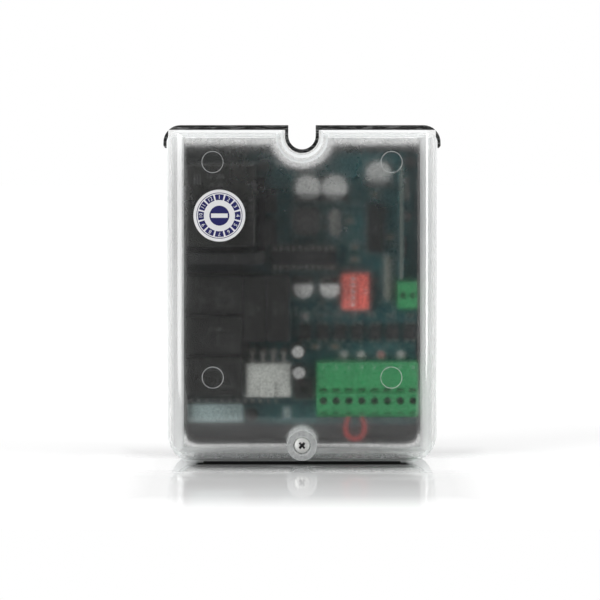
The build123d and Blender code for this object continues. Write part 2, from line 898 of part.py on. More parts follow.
def terminal_contacts():
    """Pins that stand in the fixed half and reach into the plug."""
    wall_z = header_top_z - header_wall
    gap = header_depth - header_wall - tongue_depth
    pins = []
    reach = contact_length + gap
    for x in pole_offsets(pole_count, pole_pitch):
        pin = Pos(0, -reach / 2, wire_entry_height) * Box(contact_size, reach, contact_size)
        pins.append(on_board(pin, block_x + x, wall_z))
    return Compound(children=pins)


def slotted_screw(diameter, length):
    screw = peg(diameter, length)
    screw -= block(diameter * 2, clamp_slot_width, clamp_slot_depth * 2, length - clamp_slot_depth)
    return screw


def terminal_screws():
    """Slotted clamp screws sunk in the plug."""
    centre_z = plug_bottom_z + clamp_hole_setback
    length = clamp_hole_depth - clamp_screw_sunk
    screws = []
    for number, x in enumerate(pole_offsets(pole_count, pole_pitch)):
        screw = slotted_screw(clamp_hole_diameter - 2 * clamp_screw_clearance, length)
        turned = Rot(0, 0, 30 + 37 * number) * screw
        bottom = plug_height - clamp_hole_depth
        screws.append(on_board(Pos(0, 0, bottom) * turned, block_x + x, centre_z))
    return Compound(children=screws)


def wire_link():
    """A short insulated wire that loops out of one pole and into the next."""
    poles = pole_offsets(pole_count, pole_pitch)
    left = block_x + poles[link_first_pole]
    right = block_x + poles[link_first_pole + 1]
    centre = (left + right) / 2
    shoulder_z = plug_bottom_z - link_shoulder
    low_z = plug_bottom_z - link_drop + link_diameter / 2
    leave_z = plug_bottom_z - link_diameter / 2
    points = [
        (left, entry_end_z),
        (left, leave_z),
        (centre - link_half_width, shoulder_z),
        (centre - link_half_width, low_z + link_corner),
        (centre - link_half_width + link_corner, low_z),
        (centre + link_half_width - link_corner, low_z),
        (centre + link_half_width, low_z + link_corner),
        (centre + link_half_width, shoulder_z),
        (right, leave_z),
        (right, entry_end_z),
    ]
    wire_y = board_y - wire_entry_height
    path = Plane(origin=(0, wire_y, 0), x_dir=(1, 0, 0), z_dir=(0, -1, 0)) * Polyline(*points)
    start = Plane(origin=(left, wire_y, entry_end_z), z_dir=(0, 0, -1))
    section = start * RegularPolygon(link_diameter / 2, small_round_sides)
    return sweep(section, path=path, transition=Transition.RIGHT)


def aerial_terminal():
    """A two-pole screw terminal with its entries facing down."""
    body = block(aerial_width, aerial_depth, aerial_height)
    body = chamfer(body.edges().filter_by(Axis.X).group_by(Axis.Z)[-1], 0.8)
    for x in pole_offsets(aerial_poles, aerial_pitch):
        hole_depth = aerial_height * 0.6
        hole = bore(aerial_screw_diameter, aerial_height)
        body -= Pos(x, 0, aerial_height - hole_depth) * hole
        entry = Box(aerial_entry_size, aerial_depth * 0.8, aerial_entry_size)
        body -= Pos(x, -aerial_depth / 2, aerial_entry_size) * entry
    return on_board(body, aerial_x, aerial_z)


def aerial_screws():
    screws = []
    hole_depth = aerial_height * 0.6
    for x in pole_offsets(aerial_poles, aerial_pitch):
        screw = slotted_screw(
            aerial_screw_diameter - 2 * clamp_screw_clearance, hole_depth - clamp_screw_sunk
        )
        lifted = Pos(0, 0, aerial_height - hole_depth) * Rot(0, 0, 90) * screw
        screws.append(on_board(lifted, aerial_x + x, aerial_z))
    return Compound(children=screws)


def power_connector():
    """The white power connector: four square wells open downwards and a latch ridge on top."""
    body = block(power_width, power_depth, power_height)
    body = chamfer(body.edges().filter_by(Axis.Y).group_by(Axis.Z)[-1], 0.6)
    well = power_pitch - power_wall
    well_height = power_height - 2 * power_wall - power_latch_height
    for x in pole_offsets(power_ways, power_pitch):
        mouth = Box(well, 2 * power_mouth_depth, well_height)
        body -= Pos(x, -power_depth / 2, power_wall + well_height / 2) * mouth
    ridge = block(power_latch_width, power_latch_depth, 2 * power_latch_height, power_height - power_latch_height)
    ridge_y = (power_latch_depth - power_depth) / 2
    body += Pos(0, ridge_y, 0) * ridge
    return on_board(body, power_x, power_z)


def power_pins():
    """Bent pins: through the connector's back wall, then down to the board."""
    pins = []
    back = power_depth / 2
    for x in pole_offsets(power_ways, power_pitch):
        out = Pos(0, power_pin_reach / 2, power_pin_height) * Box(
            power_pin_size, power_pin_reach, power_pin_size
        )
        down_y = power_pin_reach - power_pin_size / 2
        down = Pos(0, down_y, 0) * block(power_pin_size, power_pin_size, power_pin_height)
        pin = chamfer((out + down).edges().filter_by(Axis.X).sort_by(Axis.Z)[-1:], power_pin_size * 0.5)
        pins.append(on_board(pin, power_x + x, power_z + back))
    return Compound(children=pins)


switch_length = switch_ways * switch_pitch + 2 * switch_end
slot_length = slider_length + slider_travel + 2 * slider_end_clearance
slot_start = -slot_length / 2 + slider_end_clearance


def switch_body():
    """The switch block's case with one slot for each slider."""
    case = block(switch_width, switch_length, switch_height)
    case = chamfer(upright_edges(case) + top_edges(case), 0.3)
    for y in pole_offsets(switch_ways, switch_pitch):
        slot = block(slot_length, slot_width, slot_depth * 2, switch_height - slot_depth)
        case -= Pos(0, y, 0) * slot
    return on_board(case, switch_x, switch_z)


def switch_slider(number):
    """One slider: a thumb ridge on a foot that fits its slot."""
    y = pole_offsets(switch_ways, switch_pitch)[number]
    width = slot_width - 2 * slider_side_clearance
    foot = block(slider_length, width, slot_depth, switch_height - slot_depth)
    ridge = block(slider_length * 0.6, width, slot_depth + slider_proud, switch_height - slot_depth)
    ridge = chamfer(top_edges(ridge).filter_by(Axis.Y), slider_proud * 0.4)
    x = slot_start + slider_length / 2
    return on_board(Pos(x, 0, 0) * (foot + ridge), switch_x, switch_z + y)


def button_body():
    case = block(button_size, button_size, button_height)
    case = chamfer(upright_edges(case), button_size * 0.07)
    hole = bore(plunger_diameter + 2 * plunger_clearance, button_height)
    case -= Pos(0, 0, button_height - plunger_bore_depth) * hole
    return on_board(case, button_x, button_z)


def button_plunger():
    """The round plunger, held clear of its hole's end by the travel and a little more."""
    bottom = button_height - plunger_bore_depth + plunger_travel + seat_gap
    plunger = peg(plunger_diameter, button_height + plunger_proud - bottom, bottom)
    plunger = chamfer(top_edges(plunger), plunger_proud * 0.2)
    return on_board(plunger, button_x, button_z)


def main():
    pieces = {
        "clear_cover": clear_cover(),
        "date_sticker": date_sticker(),
        "cover_screw": cover_screw(),
        "carrier_tray": carrier_tray(),
        "board_screws": board_screws(),
        "circuit_board": circuit_board(),
        "power_relay": power_relay(),
        "bridge_rectifier": bridge_rectifier(),
        "heat_sink": heat_sink(),
        "power_transistors": power_transistors(),
        "power_inductor": power_inductor(),
        "microcontroller_socket": microcontroller_socket(),
        "microcontroller": microcontroller(),
        "logic_chip": logic_chip(),
        "crystal": crystal(),
        "resistor_pack": resistor_pack(),
        "optocouplers": optocouplers(),
        "status_lamps": status_lamps(),
        "chip_resistors": surface_parts(
            resistor_places, resistor_length, resistor_width, resistor_height
        ),
        "chip_capacitors": surface_parts(
            chip_cap_places, chip_cap_length, chip_cap_width, chip_cap_height
        ),
        "receiver_header": receiver_header(),
        "receiver_card": receiver_card(),
        "receiver_parts": receiver_parts(),
        "terminal_header": terminal_header(),
        "terminal_plug": terminal_plug(),
        "terminal_contacts": terminal_contacts(),
        "terminal_screws": terminal_screws(),
        "wire_link": wire_link(),
        "aerial_terminal": aerial_terminal(),
        "aerial_screws": aerial_screws(),
        "power_connector": power_connector(),
        "power_pins": power_pins(),
        "switch_body": switch_body(),
        "button_body": button_body(),
        "button_plunger": button_plunger(),
    }
    for number in range(3):
        pieces[f"cube_relay_{number + 1}"] = cube_relay(number)
    for number in range(2):
        pieces[f"slim_relay_{number + 1}"] = slim_relay(number)
    for number in range(len(filter_places)):
        pieces[f"filter_capacitor_{number + 1}"] = filter_capacitor(number)
    for number in range(len(output_places)):
        pieces[f"output_capacitor_{number + 1}"] = output_capacitor(number)
    for number in range(len(timing_places)):
        pieces[f"timing_capacitor_{number + 1}"] = timing_capacitor(number)
    for number in range(switch_ways):
        pieces[f"switch_slider_{number + 1}"] = switch_slider(number)
    os.makedirs("parts", exist_ok=True)
    for name, piece in pieces.items():
        export_step(piece, f"parts/{name}.step")
    print(len(pieces), "pieces written")


main()
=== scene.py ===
import json
from math import atan2, cos, degrees, hypot, pi, radians, sin

import bmesh
import bpy
from bpy.props import FloatProperty, FloatVectorProperty, PointerProperty
from mathutils import Matrix, Vector
from mathutils.bvhtree import BVHTree

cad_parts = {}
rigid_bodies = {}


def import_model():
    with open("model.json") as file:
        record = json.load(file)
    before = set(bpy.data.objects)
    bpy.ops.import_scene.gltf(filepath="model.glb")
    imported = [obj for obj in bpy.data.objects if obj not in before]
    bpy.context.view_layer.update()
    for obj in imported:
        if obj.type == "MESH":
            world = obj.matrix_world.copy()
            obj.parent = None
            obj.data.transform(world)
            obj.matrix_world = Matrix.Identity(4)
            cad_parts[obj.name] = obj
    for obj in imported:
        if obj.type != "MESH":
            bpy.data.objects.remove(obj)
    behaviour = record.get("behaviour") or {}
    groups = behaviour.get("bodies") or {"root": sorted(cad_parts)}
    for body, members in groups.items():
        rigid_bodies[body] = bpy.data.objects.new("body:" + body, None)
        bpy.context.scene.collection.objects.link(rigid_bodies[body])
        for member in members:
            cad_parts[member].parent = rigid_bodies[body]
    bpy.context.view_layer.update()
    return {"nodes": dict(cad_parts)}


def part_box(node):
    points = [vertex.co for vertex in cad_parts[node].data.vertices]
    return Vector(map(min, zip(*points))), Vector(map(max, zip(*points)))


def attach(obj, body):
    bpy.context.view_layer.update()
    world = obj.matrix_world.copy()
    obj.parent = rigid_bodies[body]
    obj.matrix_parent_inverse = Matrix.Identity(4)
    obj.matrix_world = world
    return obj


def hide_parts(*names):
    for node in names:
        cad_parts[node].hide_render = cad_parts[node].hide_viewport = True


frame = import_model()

bl_info = {
    "name": "Gate motor control panel",
    "version": (1, 0, 0),
    "blender": (4, 5, 0),
    "location": "3D View > Sidebar > Control panel",
    "description": "Dresses the gate motor control box with its finishes and fine parts",
    "category": "Object",
}

MM = 0.001
BODY = "box"
SHARP = radians(32)
FACING = Matrix.Rotation(radians(90), 4, "X")
BOARD_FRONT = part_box("circuit_board")[0].y
PIN_PITCH = 2.54 * MM
PRINT_GAP = 0.01 * MM
# A distance that counts as none, and how near points are to be welded
HAIR = 0.01 * MM
WELD = 0.001 * MM
CAD_WELD = 0.002 * MM


# Shader helpers

def rgba(color):
    """A colour with its alpha; a socket stays as it is."""
    return color if isinstance(color, bpy.types.NodeSocket) else (*color[:3], 1)


def shade(color, factor):
    return tuple(min(1.0, channel * factor) for channel in color[:3])


class Nodes:
    """A node tree under construction, with short ways to add its nodes."""

    def __init__(self, tree, output):
        tree.nodes.clear()
        self.tree = tree
        self.output = tree.nodes.new(output)

    def node(self, kind, inputs=None, **settings):
        made = self.tree.nodes.new("ShaderNode" + kind)
        for key, value in settings.items():
            setattr(made, key, value)
        for key, value in (inputs or {}).items():
            if isinstance(value, bpy.types.NodeSocket):
                self.tree.links.new(value, made.inputs[key])
            else:
                made.inputs[key].default_value = value
        return made

    def out(self, kind, inputs=None, **settings):
        return self.node(kind, inputs, **settings).outputs[0]

    def math(self, first, second, operation="ADD"):
        return self.out("Math", {0: first, 1: second}, operation=operation)

    def blend(self, share, first, second):
        return self.out("MixShader", {0: share, 1: first, 2: second})

    def spread(self, value, low, high, start=0.3, end=0.7):
        """A value stretched from its usual range to another."""
        ends = {"From Min": start, "From Max": end, "To Min": low, "To Max": high}
        return self.out("MapRange", {"Value": value, **ends})

    def finish(self, surface):
        self.tree.links.new(surface, self.output.inputs["Surface"])


class Shader(Nodes):
    """A new material's nodes, their patterns on the piece's own coordinates."""

    def __init__(self, name):
        self.material = bpy.data.materials.new(name)
        self.material.use_nodes = True
        super().__init__(self.material.node_tree, "ShaderNodeOutputMaterial")
        self.coordinates = self.node("TexCoord").outputs["Object"]

    def split(self, vector=None):
        return self.node("SeparateXYZ", {0: vector or self.coordinates}).outputs

    def stretched(self, scale, rotation=(0, 0, 0)):
        values = {"Vector": self.coordinates, "Scale": scale, "Rotation": rotation}
        return self.node("Mapping", values).outputs["Vector"]

    def noise(self, scale, detail=3.0, roughness=0.55, vector=None):
        values = {"Scale": scale, "Detail": detail, "Roughness": roughness}
        return self.node("TexNoise", {"Vector": vector or self.coordinates, **values}).outputs["Fac"]

    def ramp(self, value, stops):
        """Grey levels between places along a value from 0 to 1."""
        made = self.node("ValToRGB", {"Fac": value})
        elements = made.color_ramp.elements
        while len(elements) < len(stops):
            elements.new(0.5)
        for element, (place, level) in zip(elements, stops):
            element.position = place
            element.color = (level, level, level, 1)
        return made.outputs["Color"]

    def mix(self, factor, first, second):
        values = {0: factor, 6: rgba(first), 7: rgba(second)}
        return self.node("Mix", values, data_type="RGBA").outputs[2]

    def bump(self, height, distance, normal=None):
        inputs = {"Height": height, "Distance": distance}
        if normal is not None:
            inputs["Normal"] = normal
        return self.node("Bump", inputs).outputs["Normal"]

    def finish(self, surface):
        super().finish(surface)
        return self.material

    def principled(self, values):
        return self.finish(self.out("BsdfPrincipled", values))


def moulded(name, color, roughness, grain=9000, depth=0.00001, vary=0.12, dust=0.0):
    """A moulded or cast finish: fine grain, slow colour drift, uneven gloss and faint dust."""
    s = Shader(name)
    specks = s.noise(700, 6, 0.7)
    drift = s.spread(s.noise(90, 4), 0, 1)
    base = s.mix(drift, shade(color, 1 - vary), shade(color, 1 + vary))
    if dust:
        pale = tuple(channel + (0.7 - channel) * dust for channel in color[:3])
        base = s.mix(s.spread(specks, 0, 1, 0.55, 0.8), base, pale)
    return s.principled({
        "Base Color": base,
        "Roughness": s.spread(specks, max(0.04, roughness - 0.08), min(1.0, roughness + 0.08)),
        "Normal": s.bump(s.noise(grain, 2, 0.5), depth),
        "Specular IOR Level": 0.3,
    })


def metal(name, color, roughness, depth=0.000004, bare=1.0):
    """Bare or plated metal: drawn streaks, tarnish and uneven gloss."""
    s = Shader(name)
    streaks = s.noise(1, 3, 0.6, s.stretched((2500, 2500, 300)))
    return s.principled({
        "Base Color": s.mix(s.spread(s.noise(350, 4), 0, 1), shade(color, 0.8), shade(color, 1.05)),
        "Metallic": bare,
        "Roughness": s.spread(streaks, roughness * 0.75, roughness * 1.3),
        "Normal": s.bump(streaks, depth),
    })


def printed(name, color):
    """Printed ink, thin in small spots, on whatever it lies on."""
    s = Shader(name)
    spots = s.noise(2500, 5, 0.7)
    return s.principled({
        "Base Color": s.mix(s.spread(spots, 0, 1, 0.35, 0.65), shade(color, 0.7), color),
        "Roughness": s.spread(spots, 0.5, 0.75),
        "Specular IOR Level": 0.2,
    })


def lens(name, color):
    """Cast epoxy of a lamp: clear, with tiny bubbles and a soft gloss."""
    s = Shader(name)
    bubbles = s.noise(1800, 4, 0.7)
    return s.principled({
        "Base Color": s.mix(s.spread(bubbles, 0, 1, 0.4, 0.7), color, (0.9, 0.88, 0.84)),
        "Roughness": s.spread(bubbles, 0.08, 0.22),
        "IOR": 1.52,
        "Transmission Weight": 0.35,
        "Normal": s.bump(bubbles, 0.000006),
    })


def wound(name, color, pitch):
    """Enamelled wire laid in even turns, with painted shade darkening the grooves between them."""
    s = Shader(name)
    values = {"Vector": s.coordinates, "Scale": 1 / (pitch * 20), "Distortion": 0.6, "Detail": 2.0}
    turns = s.node("TexWave", values, wave_type="BANDS", bands_direction="Y").outputs["Fac"]
    return s.principled({
        # The colour darkens between turns: painted shade in the grooves
        "Base Color": s.mix(turns, shade(color, 0.45), color),
        "Metallic": 0.8,
        "Roughness": s.spread(s.noise(900), 0.25, 0.4),
        "Normal": s.bump(turns, 0.00008),
    })


def cover_plastic(name, tint, frost, haze, chalk=0.8, passing=0.93, slant=0.85, sanding=1.0):
    """Clear polycarbonate: polished where frost is 0, else sand textured, and milky at a slant.

    Haze is the share of light that specks scatter, slant the most that the slant adds, chalk how
    much of either is thrown back, passing what shadow rays keep, and sanding the texture's depth.
    """
    s = Shader(name)
    smear = s.noise(60, 5, 0.6)
    if frost:
        finer = s.spread(s.split()["Z"], -0.05, 0.02, 0.02, 0.11)
        rough = s.math(s.spread(smear, frost - 0.02, frost + 0.02), finer)
        sand = s.noise(1150, 5, 0.8)
        color = s.mix(s.spread(sand, 0, 1, 0.42, 0.58), shade(tint, 1 - 0.36 * sanding), tint)
        normal = s.bump(sand, 0.000012 * sanding)
    else:
        color = rgba(tint)
        rough = s.spread(smear, 0.0, 0.06)
        normal = s.bump(s.noise(500, 2, 0.5), 0.0000012)
    surface = s.out("BsdfPrincipled", {
        "Base Color": color, "Roughness": rough, "IOR": 1.585, "Transmission Weight": 1.0,
        "Normal": normal,
    })
    through = s.out("BsdfTranslucent", {"Color": (0.94, 0.95, 0.95, 1)})
    veil = s.out("BsdfDiffuse", {"Color": (0.93, 0.94, 0.94, 1)})
    peak = min(1.0, haze * (1.8 + 2.2 * (1 - haze)))
    specks = s.spread(s.noise(1700, 4, 0.8), haze * 0.2, peak, 0.46, 0.66)
    facing = s.node("LayerWeight", {"Blend": 0.5}).outputs["Facing"]
    share = s.math(specks, s.spread(facing, 0, slant, 0.25, 0.9), "MAXIMUM")
    surface = s.blend(share, surface, s.blend(chalk, through, veil))
    clear = (passing, passing * 1.01, passing * 1.01, 1)
    open_way = s.out("BsdfTransparent", {"Color": clear})
    path = s.node("LightPath").outputs
    for ray in ("Is Shadow Ray", "Is Diffuse Ray"):
        surface = s.blend(path[ray], surface, open_way)
    return s.finish(surface)


def rim_edge(name):
    """The clear plastic's rear rim face painted dark as shade, with pale streaks along its run as
    painted highlights.
    """
    s = Shader(name)
    streaks = s.noise(1, 4, 0.65, s.stretched((160, 60, 2600)))
    patches = s.spread(s.noise(110, 3), 0.15, 1)
    # Pale streaks on the dark face: painted highlights
    pale = s.math(s.spread(streaks, 0, 1, 0.5, 0.7), patches, "MULTIPLY")
    return s.principled({
        "Base Color": s.mix(pale, (0.018, 0.018, 0.018), (0.55, 0.55, 0.55)),
        "Roughness": s.spread(streaks, 0.15, 0.35),
        "Normal": s.bump(streaks, 0.00001),
    })


def milky(name):
    """A cloudy zone inside clear plastic, uneven and half see-through."""
    s = Shader(name)
    pale = s.out("BsdfDiffuse", {"Color": (0.62, 0.63, 0.63, 1)})
    open_way = s.out("BsdfTransparent", {"Color": (0.9, 0.9, 0.9, 1)})
    return s.finish(s.blend(s.spread(s.noise(700, 4, 0.6), 0.35, 0.7), open_way, pale))


def laminate(name, color):
    """Solder mask over copper: buried tracks show as paler lines, with a fine glass weave, and painted
    shade darkening it towards the left.
    """
    s = Shader(name)
    runs = s.node("TexBrick", {
        "Vector": s.stretched((1, 1, 1), (radians(90), 0, 0)), "Color1": (1, 1, 1, 1),
        "Color2": (0.6, 0.6, 0.6, 1), "Mortar": (0, 0, 0, 1), "Scale": 160.0,
        "Mortar Size": 0.12, "Brick Width": 0.9, "Row Height": 0.32,
    }).outputs["Color"]
    tracks = s.mix(s.spread(s.noise(70, 3), 0, 1, 0.42, 0.6), (0, 0, 0), runs)
    base = s.mix(tracks, color, shade(color, 1.7))
    # Painted shade: the board's colour turns dark towards its left side, where the tall relays shade it
    painted_relay_shade = s.spread(s.split()["X"], 0, 1, -0.024, -0.01)
    return s.principled({
        "Base Color": s.mix(painted_relay_shade, (0.011, 0.014, 0.014), base),
        "Roughness": s.spread(s.noise(300, 4), 0.3, 0.5),
        "Normal": s.bump(s.noise(2600, 1), 0.000006, s.bump(tracks, 0.00002)),
        "Specular IOR Level": 0.3,
    })


# Each finish: its maker, its colour or the board setting that holds it, and the rest
FINISHES = {
    "black tray plastic": (moulded, (0.009, 0.009, 0.0092), 0.5, {"grain": 5000, "depth": 0.00002}),
    "relay case": (moulded, "case_color", 0.42, {"dust": 0.02}),
    "power relay case": (moulded, (0.017, 0.017, 0.016), 0.42, {"dust": 0.03}),
    "chip epoxy": (moulded, (0.012, 0.012, 0.0125), 0.55, {"vary": 0.2}),
    "black anodised aluminium": (metal, (0.03, 0.03, 0.032), 0.45),
    "terminal plastic": (moulded, "terminal_color", 0.42, {"dust": 0.02}),
    "switch plastic": (moulded, "switch_color", 0.35),
    "slider plastic": (moulded, (0.86, 0.80, 0.77), 0.4, {"vary": 0.05}),
    "white nylon": (moulded, (0.52, 0.53, 0.50), 0.48, {"vary": 0.07}),
    "red insulation": (moulded, (0.60, 0.035, 0.03), 0.38, {"vary": 0.06}),
    "satin zinc": (metal, (0.86, 0.86, 0.84), 0.55, {"depth": 0.000002}),
    "blackened steel": (metal, (0.09, 0.09, 0.09), 0.4),
    "tinned metal": (metal, (0.58, 0.58, 0.56), 0.32),
    "dull nickel": (metal, (0.2, 0.2, 0.195), 0.4),
    "drawn aluminium": (metal, (0.57, 0.57, 0.56), 0.45, {"bare": 0.35}),
    "ferrite": (moulded, (0.012, 0.012, 0.013), 0.65, {"depth": 0.00003}),
    "winding wire": (wound, (0.55, 0.22, 0.07), 0.0004),
    "tan ceramic": (moulded, (0.30, 0.25, 0.19), 0.5),
    "grey lacquer": (moulded, (0.25, 0.25, 0.22), 0.35, {"depth": 0.00004}),
    "clear lamp epoxy": (lens, (0.62, 0.61, 0.59)),
    "red lamp epoxy": (lens, (0.55, 0.05, 0.04)),
    "sticker paper": (moulded, (0.78, 0.78, 0.79), 0.45, {"vary": 0.03}),
    "blue ink": (printed, (0.022, 0.022, 0.13)),
    "white ink": (printed, (0.54, 0.68, 0.68)),
    "grey ink": (printed, (0.17, 0.17, 0.17)),
    "black ink": (printed, (0.01, 0.01, 0.011)),
    "faded ink": (printed, (0.2, 0.2, 0.2)),
    "solder mask": (laminate, "board_color"),
    "cut laminate": (moulded, (0.10, 0.125, 0.115), 0.7, {"grain": 4000, "vary": 0.3}),
    "masked copper": (moulded, (0.03, 0.15, 0.155), 0.35, {"vary": 0.2}),
    "ejector mark edge": (moulded, (0.75, 0.76, 0.76), 0.3, {"vary": 0.2}),
    "boss edge light": (moulded, (0.6, 0.61, 0.61), 0.4),
}


def finish(name):
    """A finish by name, made on its first use."""
    if name not in bpy.data.materials:
        maker, color, *rest = FINISHES[name]
        named = rest.pop() if rest and isinstance(rest[-1], dict) else {}
        if isinstance(color, str):
            color = tuple(getattr(bpy.context.scene.panel_board, color))
        maker(name, color, *rest, **named)
    return bpy.data.materials[name]


# Settings that a user would change

def color_setting(name, description, default):
    return FloatVectorProperty(
        name=name, description=description, subtype="COLOR", default=default, min=0, max=1)


class CoverSettings(bpy.types.PropertyGroup):
    tint: color_setting("Tint", "Colour of the clear plastic", (0.965, 0.965, 0.96))
    frost: FloatProperty(
        name="Frost", description="Roughness of the cover's inner face", subtype="FACTOR",
        default=0.25, min=0.05, max=1,
    )
    haze: FloatProperty(
        name="Haze", description="Share of light that the front wall's inner face scatters",
        subtype="FACTOR", default=0.007, min=0, max=1,
    )
    side_haze: FloatProperty(
        name="Side haze", description="Share of light that the other walls' inner faces scatter",
        subtype="FACTOR", default=0.1, min=0, max=1,
    )
    edge: FloatProperty(
        name="Edge", description="Radius broken on the cover's sharp edges", unit="LENGTH",
        default=0.00018, min=0.00005, max=0.0005,
    )


class BoardSettings(bpy.types.PropertyGroup):
    board_color: color_setting("Solder mask", "Colour of the solder mask", (0.012, 0.085, 0.092))
    case_color: color_setting("Cases", "Colour of the relays' cases", (0.009, 0.009, 0.0085))
    terminal_color: color_setting("Terminals", "Colour of the terminal blocks", (0.042, 0.30, 0.11))
    switch_color: color_setting("Switch block", "Colour of the switch block", (0.95, 0.19, 0.155))
    edge: FloatProperty(
        name="Edge", description="Radius broken on moulded edges", unit="LENGTH",
        default=0.0002, min=0.00005, max=0.001,
    )


class StageSettings(bpy.types.PropertyGroup):
    camera_distance: FloatProperty(
        name="Camera distance", description="From the camera to the front face", unit="LENGTH",
        default=1.455, min=0.3, max=5,
    )
    camera_height: FloatProperty(
        name="Camera height", description="Height of the camera over the floor", unit="LENGTH",
        default=0.1363, min=0, max=2,
    )
    aim_height: FloatProperty(
        name="Aim height", description="Where the view's middle meets the front face", unit="LENGTH",
        default=0.0645, min=0, max=1,
    )
    focal_length: FloatProperty(
        name="Focal length", description="Lens for a 36 mm sensor, in millimetres",
        default=223.5, min=20, max=500,
    )
    dark_front: FloatProperty(
        name="Dark front", description="Strength of the surroundings on the camera's side",
        default=0.03, min=0, max=1,
    )


GROUPS = (CoverSettings, BoardSettings, StageSettings)


# Mesh helpers

def node_copy(node, flatten=True):
    """A merged copy of a CAD node's mesh, its flat faces made whole."""
    bm = bmesh.new()
    bm.from_mesh(frame["nodes"][node].data)
    bmesh.ops.remove_doubles(bm, verts=bm.verts, dist=CAD_WELD)
    if flatten:
        bmesh.ops.dissolve_limit(
            bm, angle_limit=radians(0.6), use_dissolve_boundaries=False,
            verts=bm.verts, edges=bm.edges,
        )
    return bm


def bevel(bm, edges, width, segments):
    bmesh.ops.bevel(
        bm, geom=edges, offset=width, offset_type="OFFSET", affect="EDGES",
        segments=segments, profile=0.5, material=-1, clamp_overlap=True,
    )


def bevel_sharp(bm, width, segments=2):
    """Break the edges where two faces meet at a sharp angle."""
    sharp = [e for e in bm.edges if len(e.link_faces) == 2 and e.calc_face_angle(0) > SHARP]
    bevel(bm, sharp, width, segments)


def sort_faces(bm, rule):
    """Give each face the number of its look, by a rule on its centre and normal."""
    for face in bm.faces:
        face.material_index = int(rule(face.calc_center_median(), face.normal))


def cut_plane(bm, place, normal, geometry=None, **choices):
    """Score a plane into a shape, or into some of its geometry."""
    bmesh.ops.bisect_plane(
        bm, geom=geometry or bm.verts[:] + bm.edges[:] + bm.faces[:], dist=0.0000005,
        plane_co=place, plane_no=normal, **choices,
    )


def piece(name, bm, looks, body=BODY, replaces=(), weighted=True):
    """Make a bmesh a piece of the object that rides on a body, in materials or named finishes."""
    mesh = bpy.data.meshes.new(name)
    for edge in bm.edges:
        edge.smooth = len(edge.link_faces) == 2 and edge.calc_face_angle(0) < SHARP
    for face in bm.faces:
        face.smooth = True
    bm.to_mesh(mesh)
    bm.free()
    for look in (looks,) if isinstance(looks, str) else looks:
        mesh.materials.append(finish(look) if isinstance(look, str) else look)
    made = bpy.data.objects.new(name, mesh)
    bpy.context.scene.collection.objects.link(made)
    if weighted:
        modifier = made.modifiers.new("Even shading", "WEIGHTED_NORMAL")
        modifier.keep_sharp = True
    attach(made, body)
    if replaces:
        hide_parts(*replaces)


def dressed(node, bm, looks, body=BODY):
    """Make a bmesh the piece that stands for a CAD node."""
    piece(f"{node}_dressed", bm, looks, body, (node,))


def softened(node, looks, width, segments=2, sort=None, body=BODY):
    """A CAD node's shape with its edges broken; sort gives each face its look's number."""
    bm = node_copy(node)
    if sort:
        sort_faces(bm, sort)
    bevel_sharp(bm, width, segments)
    dressed(node, bm, looks, body)


def add_to(bm, other, material):
    """Move another bmesh's shapes into this one, with one material's number for all of them."""
    mesh = bpy.data.meshes.new("passing")
    other.to_mesh(mesh)
    other.free()
    start = len(bm.faces)
    bm.from_mesh(mesh)
    bpy.data.meshes.remove(mesh)
    bm.faces.ensure_lookup_table()
    for face in bm.faces[start:]:
        face.material_index = material


def washer(inner, outer, bottom, top):
    """Profile of a flat ring, in millimetres."""
    return [(inner, bottom), (outer, bottom), (outer, top), (inner, top), (inner, bottom)]


def rod(radius, bottom, top):
    """Profile of a plain cylinder, in millimetres."""
    return [(0, bottom), (radius, bottom), (radius, top), (0, top)]


def turned(profile, centre, steps=40, axis=(0, -1, 0)):
    """A full turn of (radius, height) points in millimetres, its foot at the centre."""
    bm = bmesh.new()
    turn = Vector((0, 0, 1)).rotation_difference(Vector(axis)).to_matrix().to_4x4()
    verts = [bm.verts.new((radius * MM, 0, height * MM)) for radius, height in profile]
    edges = [bm.edges.new(pair) for pair in zip(verts, verts[1:])]
    bmesh.ops.spin(
        bm, geom=verts + edges, cent=(0, 0, 0), axis=(0, 0, 1), dvec=(0, 0, 0),
        angle=2 * pi, steps=steps, use_merge=True, use_duplicate=False,
    )
    bmesh.ops.remove_doubles(bm, verts=bm.verts, dist=WELD)
    bmesh.ops.recalc_face_normals(bm, faces=bm.faces)
    bmesh.ops.transform(bm, matrix=Matrix.Translation(centre) @ turn, verts=bm.verts)
    return bm


def add_turned(bm, profile, centre, steps=40, material=0, axis=(0, -1, 0)):
    add_to(bm, turned(profile, centre, steps, axis), material)


def add_block(bm, low, high, material=0, edge=0.0, segments=2):
    """Add a box between two corners, its edges broken by a width."""
    low, high = Vector(low), Vector(high)
    part = bmesh.new()
    place = Matrix.Translation((low + high) / 2) @ Matrix.Diagonal((*(high - low), 1))
    bmesh.ops.create_cube(part, size=1.0, matrix=place)
    if edge:
        bevel_sharp(part, edge, segments)
    add_to(bm, part, material)


def add_bar(bm, start, end, width, depth, material=0):
    """Add a flat bar between two points of a plane that faces the front."""
    start, end = Vector(start), Vector(end)
    run = end - start
    turn = Matrix.Rotation(-atan2(run.z, run.x), 4, "Y")
    size = Matrix.Diagonal((run.length + width, depth, width, 1))
    part = bmesh.new()
    bmesh.ops.create_cube(part, size=1.0, matrix=Matrix.Translation((start + end) / 2) @ turn @ size)
    add_to(bm, part, material)


def add_outline(bm, low, high, width, depth):
    """Add the four bars of a rectangle that faces the front, at the height of its low corner."""
    corners = [(x, low[1], z) for x, z in (
        (low[0], low[2]), (high[0], low[2]), (high[0], high[2]), (low[0], high[2]))]
    for here, there in zip(corners, corners[1:] + corners[:1]):
        add_bar(bm, here, there, width, depth)


